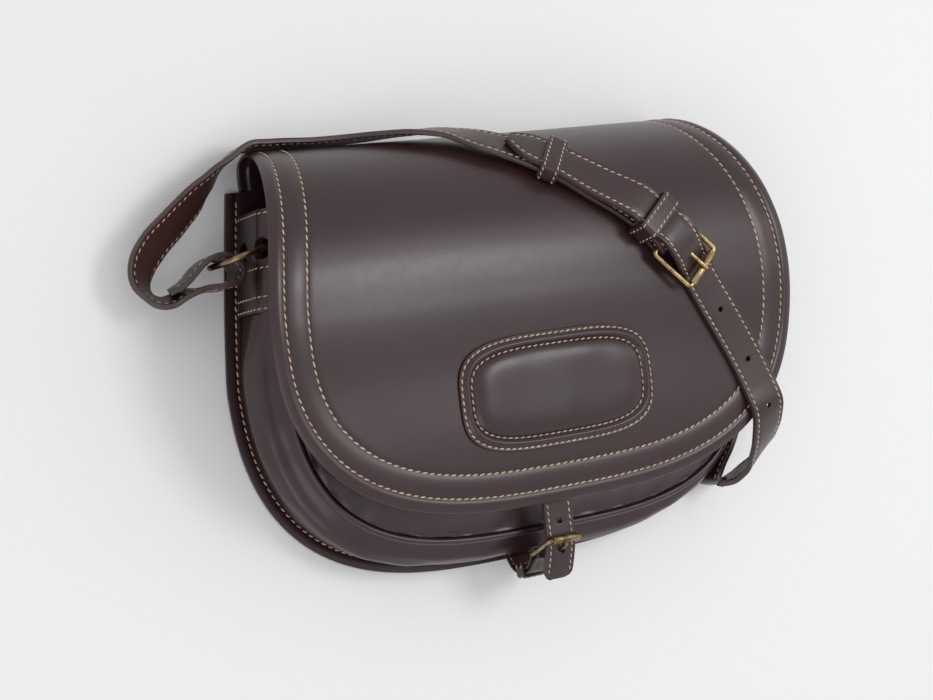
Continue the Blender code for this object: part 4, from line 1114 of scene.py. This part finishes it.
OVER_ROUTE = (
    (-1.0, 218.5, OVER_LIFT + 1.6), (9.0, 209.8, OVER_LIFT + 0.5), (21.0, 200.0, OVER_LIFT),
    (48.0, 178.5, OVER_LIFT + 0.7), (57.0, 172.2, OVER_LIFT + 2.6), (66.0, 166.0, TOP_LIFT),
    (76.8, 155.4, TOP_LIFT), (86.5, 146.0, TOP_LIFT + 3.2), (93.5, 137.0, TOP_LIFT + 1.8),
    (101.0, 129.2, 8.6), (108.0, 121.5, 3.1), (114.5, 110.5, LOW_LIFT), (124.0, 94.5, LOW_LIFT),
    (134.0, 77.0, LOW_LIFT), (142.5, 60.0, LOW_LIFT), (149.3, 43.0, LOW_LIFT + 0.9),
    (153.8, 28.5, LOW_LIFT + 2.2),
)
STRAP_HOLES = (12, 14, 16)
STRAP_HOLE_RADIUS = 1.7
RIGHT_LOOP = (
    (158.0, -66.0, 72.5, -0.15, 0.35, -0.92), (162.0, -79.0, 59.0, -0.38, 0.62, -0.69),
    (164.0, -90.0, 43.0, -0.62, 0.66, -0.43), (160.0, -97.5, 30.0, -0.55, 0.83, -0.15),
    (154.5, -101.0, 21.5, -0.25, 0.95, -0.10), (149.5, -101.5, 16.5, 0.15, 0.98, 0.10),
    (145.5, -99.2, 15.9, 0.80, 0.60, 0.0),
    (149.0, -92.6, 15.9, 0.87, -0.48, 0.0), (159.5, -79.5, 15.9, 0.82, -0.57, 0.0),
    (171.8, -58.0, 15.9, 0.90, -0.42, 0.0), (179.0, -35.0, 15.9, 0.97, -0.22, 0.0),
    (182.0, -8.0, 15.9, 1.00, -0.04, 0.0), (182.5, 20.0, 16.2, 1.00, 0.02, 0.0),
    (182.8, 45.0, 18.5, 0.99, 0.03, 0.0), (184.0, 57.0, 21.5, 0.99, -0.03, 0.0),
    (181.5, 67.0, 24.0, 0.96, 0.25, 0.0), (177.5, 76.0, 27.5, 0.92, 0.38, 0.0),
    (177.6, 85.5, 27.5, 0.90, -0.44, 0.0), (184.5, 90.0, 27.5, 0.00, -1.00, 0.0),
    (193.5, 87.0, 27.5, -0.75, -0.66, 0.0), (198.0, 78.5, 27.5, -0.99, -0.10, 0.0),
    (196.0, 69.0, 25.0, -0.95, 0.31, 0.0), (190.5, 58.0, 23.5, -0.93, 0.37, 0.0),
)


def on_flap(route):
    places = [flap_point(*row) for row in route]
    return [tuple(place) + tuple(normal) for place, normal in places]


def turned(rows):
    return [tuple(row[:3]) + tuple(-Vector(row[3:])) for row in rows]


print("route rows", len(LEFT_LOOP) + len(UNDER_ROUTE) + len(OVER_ROUTE) + len(RIGHT_LOOP))

# %% [markdown]
# A roller buckle is a bent wire frame, a loose sleeve on its front bar and a tongue hooked on
# its rear bar. It is built in its own frame: along the strap, across it and out of the flap.

# %% Strap buckle
def buckle_axes():
    centre, normal = flap_point(*BUCKLE_CENTRE)
    ahead, _ = flap_point(BUCKLE_CENTRE[0] + BUCKLE_HEADING[0], BUCKLE_CENTRE[1] + BUCKLE_HEADING[1])
    along = (ahead - centre).normalized()
    return centre, along, along.cross(normal).normalized(), normal


BUCKLE_AXES = buckle_axes()


def in_buckle(along, across, lift):
    centre, run, side, normal = BUCKLE_AXES
    return centre + run * along + side * across + normal * lift


def sleeve(name, start, end, inner, outer, look):
    """Turned tube with softened ends; its profile is walked round the hollow."""
    run = (end - start).normalized()
    side = run.orthogonal().normalized()
    up = run.cross(side)
    length = (end - start).length
    profile = ((0.0, inner), (0.0, outer - SLEEVE_ROUND), (SLEEVE_END, outer),
               (length / 2, outer + SLEEVE_BELLY), (length - SLEEVE_END, outer),
               (length, outer - SLEEVE_ROUND), (length, inner), (0.0, inner))

    def place(i, j):
        along, radius = profile[j]
        turn = 2 * math.pi * (i % SLEEVE_SIDES) / SLEEVE_SIDES
        return start + run * along + (side * math.cos(turn) + up * math.sin(turn)) * radius

    made = mapped_sheet(name, SLEEVE_SIDES, len(profile) - 1, place)
    merged(made, SLEEVE_MERGE)
    made.data.materials.append(look)
    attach(made, "root")
    return made


BACK_BAR, FRONT_BAR = -BUCKLE_LENGTH / 2, BUCKLE_LENGTH / 2
FRAME_HALF = BUCKLE_WIDTH / 2 - BUCKLE_WIRE
frame_corners = [in_buckle(BACK_BAR, side * FRAME_HALF, BUCKLE_BAR_LIFT) for side in (-1, 1)]
frame_corners += [in_buckle(FRONT_BAR, side * FRAME_HALF, BUCKLE_ROLLER_LIFT) for side in (1, -1)]
frame_path = rounded_loop(frame_corners, BUCKLE_CORNER)
buckle = round_wire("strap_buckle_wire", frame_path, BUCKLE_WIRE, BRASS, closed=True)
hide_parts("strap_buckle_frame")
roller_half = FRAME_HALF - ROLLER_SHORTER
roller_ends = [in_buckle(FRONT_BAR, side * roller_half, BUCKLE_ROLLER_LIFT) for side in (-1, 1)]
roller = sleeve("strap_buckle_sleeve", *roller_ends, BUCKLE_WIRE + GAP, BUCKLE_ROLLER, BRASS)
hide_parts("strap_buckle_roller")
eye_radius = BUCKLE_WIRE + GAP + TONGUE_WIRE
eye_turns = [math.radians(turn) for turn in range(-60, 176, 10)]
tongue_points = [in_buckle(BACK_BAR - eye_radius * math.sin(turn), 0.0,
                           BUCKLE_BAR_LIFT - eye_radius * math.cos(turn)) for turn in eye_turns]
tip_lift = BUCKLE_ROLLER_LIFT + BUCKLE_ROLLER + TONGUE_WIRE + GAP
tongue_points.append(in_buckle(FRONT_BAR + TONGUE_OVERHANG, 0.0, tip_lift))
tongue = round_wire("strap_buckle_prong", tongue_points, TONGUE_WIRE, BRASS)
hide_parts("strap_buckle_tongue")
print("buckle axes", [tuple(round(v, 2) for v in axis) for axis in BUCKLE_AXES])

# %% [markdown]
# Now the strap itself. The under piece comes from the left ring, over the fold, down to the
# buckle and round its bar. The upper piece is the billet: it starts at its pointed tip, runs
# through the keepers and the buckle, and goes on to the right ring.

# %% Shoulder strap
def wrap_rows():
    radius = BUCKLE_WIRE + GAP + STRAP_WALL / 2
    rows = []
    for angle in (-90, -55, -20, 20, 55, 90):
        turn = math.radians(angle)
        place = in_buckle(BACK_BAR + radius * math.cos(turn), 0.0, BUCKLE_BAR_LIFT + radius * math.sin(turn))
        inward = BUCKLE_AXES[1] * -math.cos(turn) - BUCKLE_AXES[3] * math.sin(turn)
        rows.append(tuple(place) + tuple(inward))
    return rows + turned(on_flap(TAIL_ROUTE))


def drill(place, normal, radius):
    bpy.ops.mesh.primitive_cylinder_add(
        vertices=24, radius=radius * MM, depth=DRILL_DEPTH * MM, location=place * MM,
        rotation=normal.to_track_quat("Z", "Y").to_euler())
    return hidden(bpy.context.object, "hole_cutter")


def slot_cutter(centre, axes, sizes):
    turn = Matrix([axis.normalized() for axis in axes]).transposed().to_4x4()
    mesh = bmesh.new()
    size = Matrix.Diagonal((sizes[0] * MM, sizes[1] * MM, sizes[2] * MM, 1.0))
    bmesh.ops.create_cube(mesh, size=1.0, matrix=Matrix.Translation(centre * MM) @ turn @ size)
    data = bpy.data.meshes.new("slot_cutter")
    mesh.to_mesh(data)
    mesh.free()
    return hidden(linked("slot_cutter", data), "slot_cutter")


def billet_tip(j):
    """Share of the width near the billet's end, a rounded point."""
    reach = (long_stations[j][0] - long_stations[0][0]).length
    return math.sqrt(min(TIP_SHARE + reach / TIP_LENGTH, 1.0))


short_stations = to_stations(turned(LEFT_LOOP) + on_flap(UNDER_ROUTE) + wrap_rows())
strap_short = ribbon("strap_short_leather", short_stations, *STRAP_SIZES)
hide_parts("strap_short")
long_rows = on_flap(OVER_ROUTE) + turned(RIGHT_LOOP)
long_stations = to_stations(long_rows)
strap_long = ribbon("strap_long_leather", long_stations, *STRAP_SIZES, taper=billet_tip)
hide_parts("strap_long")
for index in STRAP_HOLES:
    row = long_rows[index]
    cut(strap_long, drill(Vector(row[:3]), Vector(row[3:]), STRAP_HOLE_RADIUS))
cut(strap_long, slot_cutter(in_buckle(*BILLET_SLOT_PLACE), BUCKLE_AXES[1:], BILLET_SLOT))
bar_place = in_buckle(BACK_BAR + BAR_SLOT_SHIFT, 0.0, BUCKLE_BAR_LIFT)
cut(strap_short, slot_cutter(bar_place, BUCKLE_AXES[1:], BAR_SLOT))
both = (1, -1)
stitch_rows("strap_short_thread", ribbon_rows(short_stations, *STRAP_SIZES, 2, -2, both), **STRAP_STITCH)
stitch_rows("strap_long_thread", ribbon_rows(long_stations, *STRAP_SIZES, 1, -2, both, billet_tip),
            **STRAP_STITCH)
print("strap stations", len(short_stations), len(long_stations))

# %% [markdown]
# Two keepers hold the billet down. Each is a band bent round the layers of strap, so its height
# comes from the lifts of the strap below it and nothing has to be guessed.

# %% Keepers
KEEPERS = (
    # row of the under route, lift of the strap's top layer there
    (2, OVER_LIFT), (5, TOP_LIFT + 0.9),
)
for number, (row, lift) in enumerate(KEEPERS, 1):
    centre, normal = flap_point(*UNDER_ROUTE[row][:2])
    lifted, _ = flap_point(*UNDER_ROUTE[row])
    nearest = min(short_stations, key=lambda station: (station[0] - lifted).length)
    side = nearest[3].cross(normal).normalized()
    half = STRAP_WIDTH / 2 + KEEPER_PLAY + KEEPER_WALL / 2
    low = KEEPER_SEAT + KEEPER_WALL / 2
    high = lift + STRAP_WALL / 2 + KEEPER_PLAY + KEEPER_WALL / 2
    corners = [centre + side * a + normal * b
               for a, b in ((-half, low), (half, low), (half, high), (-half, high))]
    keeper = band("keeper_%d_leather" % number, corners, normal.cross(side),
                  KEEPER_WIDTH, KEEPER_WALL, KEEPER_CORNER)
    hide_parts("strap_keeper_%d" % number)

# %% [markdown]
# The closure repeats the same ideas at a smaller size: a strap from under the flap, a roller
# buckle, a folded chape that holds the buckle to the bottom seam, and a narrow keeper round it.

# %% Closure
CLOSURE_X, CLOSURE_WIDTH, CLOSURE_WALL = -7.0, 20.0, 3.0
CLOSURE_ROLLER_CENTRE, CLOSURE_BAR_CENTRE = (-113.0, 69.3), (-121.0, 47.0)
CLOSURE_FRAME_WIDTH, CLOSURE_WIRE, CLOSURE_ROLLER = 26.0, 1.5, 2.4
CLOSURE_PATH = (
    # y, z of the strap's middle line
    (-62.0, 70.5), (-76.0, 68.9), (-90.0, 66.8), (-102.0, 65.6), (-113.0, 64.7), (-122.0, 61.5),
    (-131.0, 57.0), (-137.0, 53.5),
)
CHAPE_WALL, CHAPE_WIDTH = 1.8, 19.0
CHAPE_PATH = (
    # y, z of the chape's middle line, from the seam to the bar and back inside itself
    (-118.9, 7.8), (-123.0, 10.5), (-129.5, 15.5), (-133.0, 22.5), (-133.2, 30.0), (-131.8, 37.0),
    (-127.3, 42.6), (-124.1, 47.0), (-123.2, 49.2), (-121.0, 50.1), (-118.8, 49.2), (-117.9, 47.0),
    (-119.4, 43.9), (-124.6, 40.0), (-129.2, 34.6), (-130.4, 30.0), (-130.4, 23.0),
)
CHAPE_KEEPER_CENTRE, CHAPE_KEEPER_WIDTH, CHAPE_KEEPER_WALL = (-131.8, 27.8), 8.0, 1.5
CHAPE_KEEPER_PLAY, CHAPE_KEEPER_CORNER = 0.8, 1.4
CLOSURE_SIZES, CHAPE_SIZES = (CLOSURE_WIDTH, CLOSURE_WALL, 2.4), (CHAPE_WIDTH, CHAPE_WALL, 2.2)
CLOSURE_STITCH = dict(pitch=4.2, length=3.2, width=0.95)
CHAPE_STITCH = dict(pitch=3.8, length=3.0, width=0.9)
CLOSURE_STEP, CHAPE_STITCH_END = 1.2, 34
CLOSURE_FACE, CLOSURE_HOLE, CLOSURE_CORNER = (0.0, 0.15, 1.0), 3, 5.5

closure_stations = to_stations([(CLOSURE_X, y, z) + CLOSURE_FACE for y, z in CLOSURE_PATH],
                               CLOSURE_STEP)


def closure_tip(j):
    """Share of the width left near the strap's end, whose two corners are rounded."""
    left = (closure_stations[-1][0] - closure_stations[j][0]).length
    short = 1 - min(left / CLOSURE_CORNER, 1.0)
    return 1 - CLOSURE_CORNER * (1 - math.sqrt(1 - short * short)) / (CLOSURE_WIDTH / 2)


closure_strap = ribbon("closure_strap_leather", closure_stations, *CLOSURE_SIZES, taper=closure_tip)
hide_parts("closure_strap")
stitch_rows("closure_strap_thread", ribbon_rows(closure_stations, *CLOSURE_SIZES, 6, -3), **CLOSURE_STITCH)

chape_rows = []
for i, (y, z) in enumerate(CHAPE_PATH):
    before, after = CHAPE_PATH[max(i - 1, 0)], CHAPE_PATH[min(i + 1, len(CHAPE_PATH) - 1)]
    run = Vector((after[0] - before[0], after[1] - before[1])).normalized()
    chape_rows.append((CLOSURE_X, y, z, 0.0, -run.y, run.x))
chape_stations = to_stations(chape_rows, CLOSURE_STEP)
chape = ribbon("chape_leather", chape_stations, *CHAPE_SIZES)
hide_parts("closure_chape")
chape_seams = ribbon_rows(chape_stations, *CHAPE_SIZES, 2, CHAPE_STITCH_END - len(chape_stations), (-1,))
stitch_rows("chape_thread", chape_seams, **CHAPE_STITCH)

half_x = CHAPE_WIDTH / 2 + GAP + CHAPE_KEEPER_WALL / 2
half_y = CHAPE_WALL + CHAPE_KEEPER_PLAY + GAP + CHAPE_KEEPER_WALL / 2
middle = Vector((CLOSURE_X,) + CHAPE_KEEPER_CENTRE)
corners = [middle + Vector((a * half_x, b * half_y, 0.0)) for a, b in ((-1, -1), (1, -1), (1, 1), (-1, 1))]
chape_keeper = band("closure_keeper_leather", corners, UP,
                    CHAPE_KEEPER_WIDTH, CHAPE_KEEPER_WALL, CHAPE_KEEPER_CORNER)
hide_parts("closure_keeper")
print("chape stations", len(chape_stations))

# %% [markdown]
# The closure buckle stands upright on its bar in the chape's bend. Its prong hooks round that
# bar, rises through the strap and rests on the sleeve; the strap is drilled where it passes.

# %% Closure buckle
PRONG_WIRE, PRONG_ARCH, PRONG_OVERHANG = 1.1, 1.5, 0.6
CLOSURE_ROLLER_SHORTER, CLOSURE_FRAME_CORNER = 2.7, 2.2
PRONG_HOLE_SHARE, PRONG_HOLE_RADIUS, CHAPE_SLOT = 0.27, 2.6, (3.4, 13.0, 11.0)
half = CLOSURE_FRAME_WIDTH / 2 - CLOSURE_WIRE
roller_middle = Vector((CLOSURE_X,) + CLOSURE_ROLLER_CENTRE)
bar_middle = Vector((CLOSURE_X,) + CLOSURE_BAR_CENTRE)
wide, shorter = Vector((half, 0.0, 0.0)), Vector((half - CLOSURE_ROLLER_SHORTER, 0.0, 0.0))
corners = [roller_middle - wide, roller_middle + wide, bar_middle + wide, bar_middle - wide]
closure_frame = round_wire("closure_buckle_wire", rounded_loop(corners, CLOSURE_FRAME_CORNER),
                           CLOSURE_WIRE, BRONZE, closed=True)
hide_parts("closure_buckle_frame")
closure_roller = sleeve("closure_buckle_sleeve", roller_middle - shorter, roller_middle + shorter,
                        CLOSURE_WIRE + GAP, CLOSURE_ROLLER, BRONZE)
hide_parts("closure_buckle_roller")
reach = (roller_middle - bar_middle).normalized()
ahead = Vector((0.0, -reach.z, reach.y))
eye_radius = CLOSURE_WIRE + GAP + PRONG_WIRE
prong = [bar_middle + (reach * math.cos(turn) + ahead * math.sin(turn)) * eye_radius
         for turn in map(math.radians, range(-40, -271, -10))]
rise = bar_middle.lerp(roller_middle, 0.5) + ahead * (eye_radius + PRONG_ARCH)
tip = roller_middle + ahead * (CLOSURE_ROLLER + PRONG_WIRE + GAP) + reach * PRONG_OVERHANG
closure_prong = round_wire("closure_buckle_prong", prong + [rise, tip], PRONG_WIRE, BRONZE)
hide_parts("closure_buckle_tongue")
cut(closure_strap, drill(rise.lerp(tip, PRONG_HOLE_SHARE), tip - rise, PRONG_HOLE_RADIUS))
free_hole = Vector((CLOSURE_X,) + CLOSURE_PATH[CLOSURE_HOLE])
cut(closure_strap, drill(free_hole, Vector(CLOSURE_FACE), STRAP_HOLE_RADIUS))
cut(chape, slot_cutter(bar_middle, Matrix.Identity(3), CHAPE_SLOT))
print("closure frame half width", half, "mm")
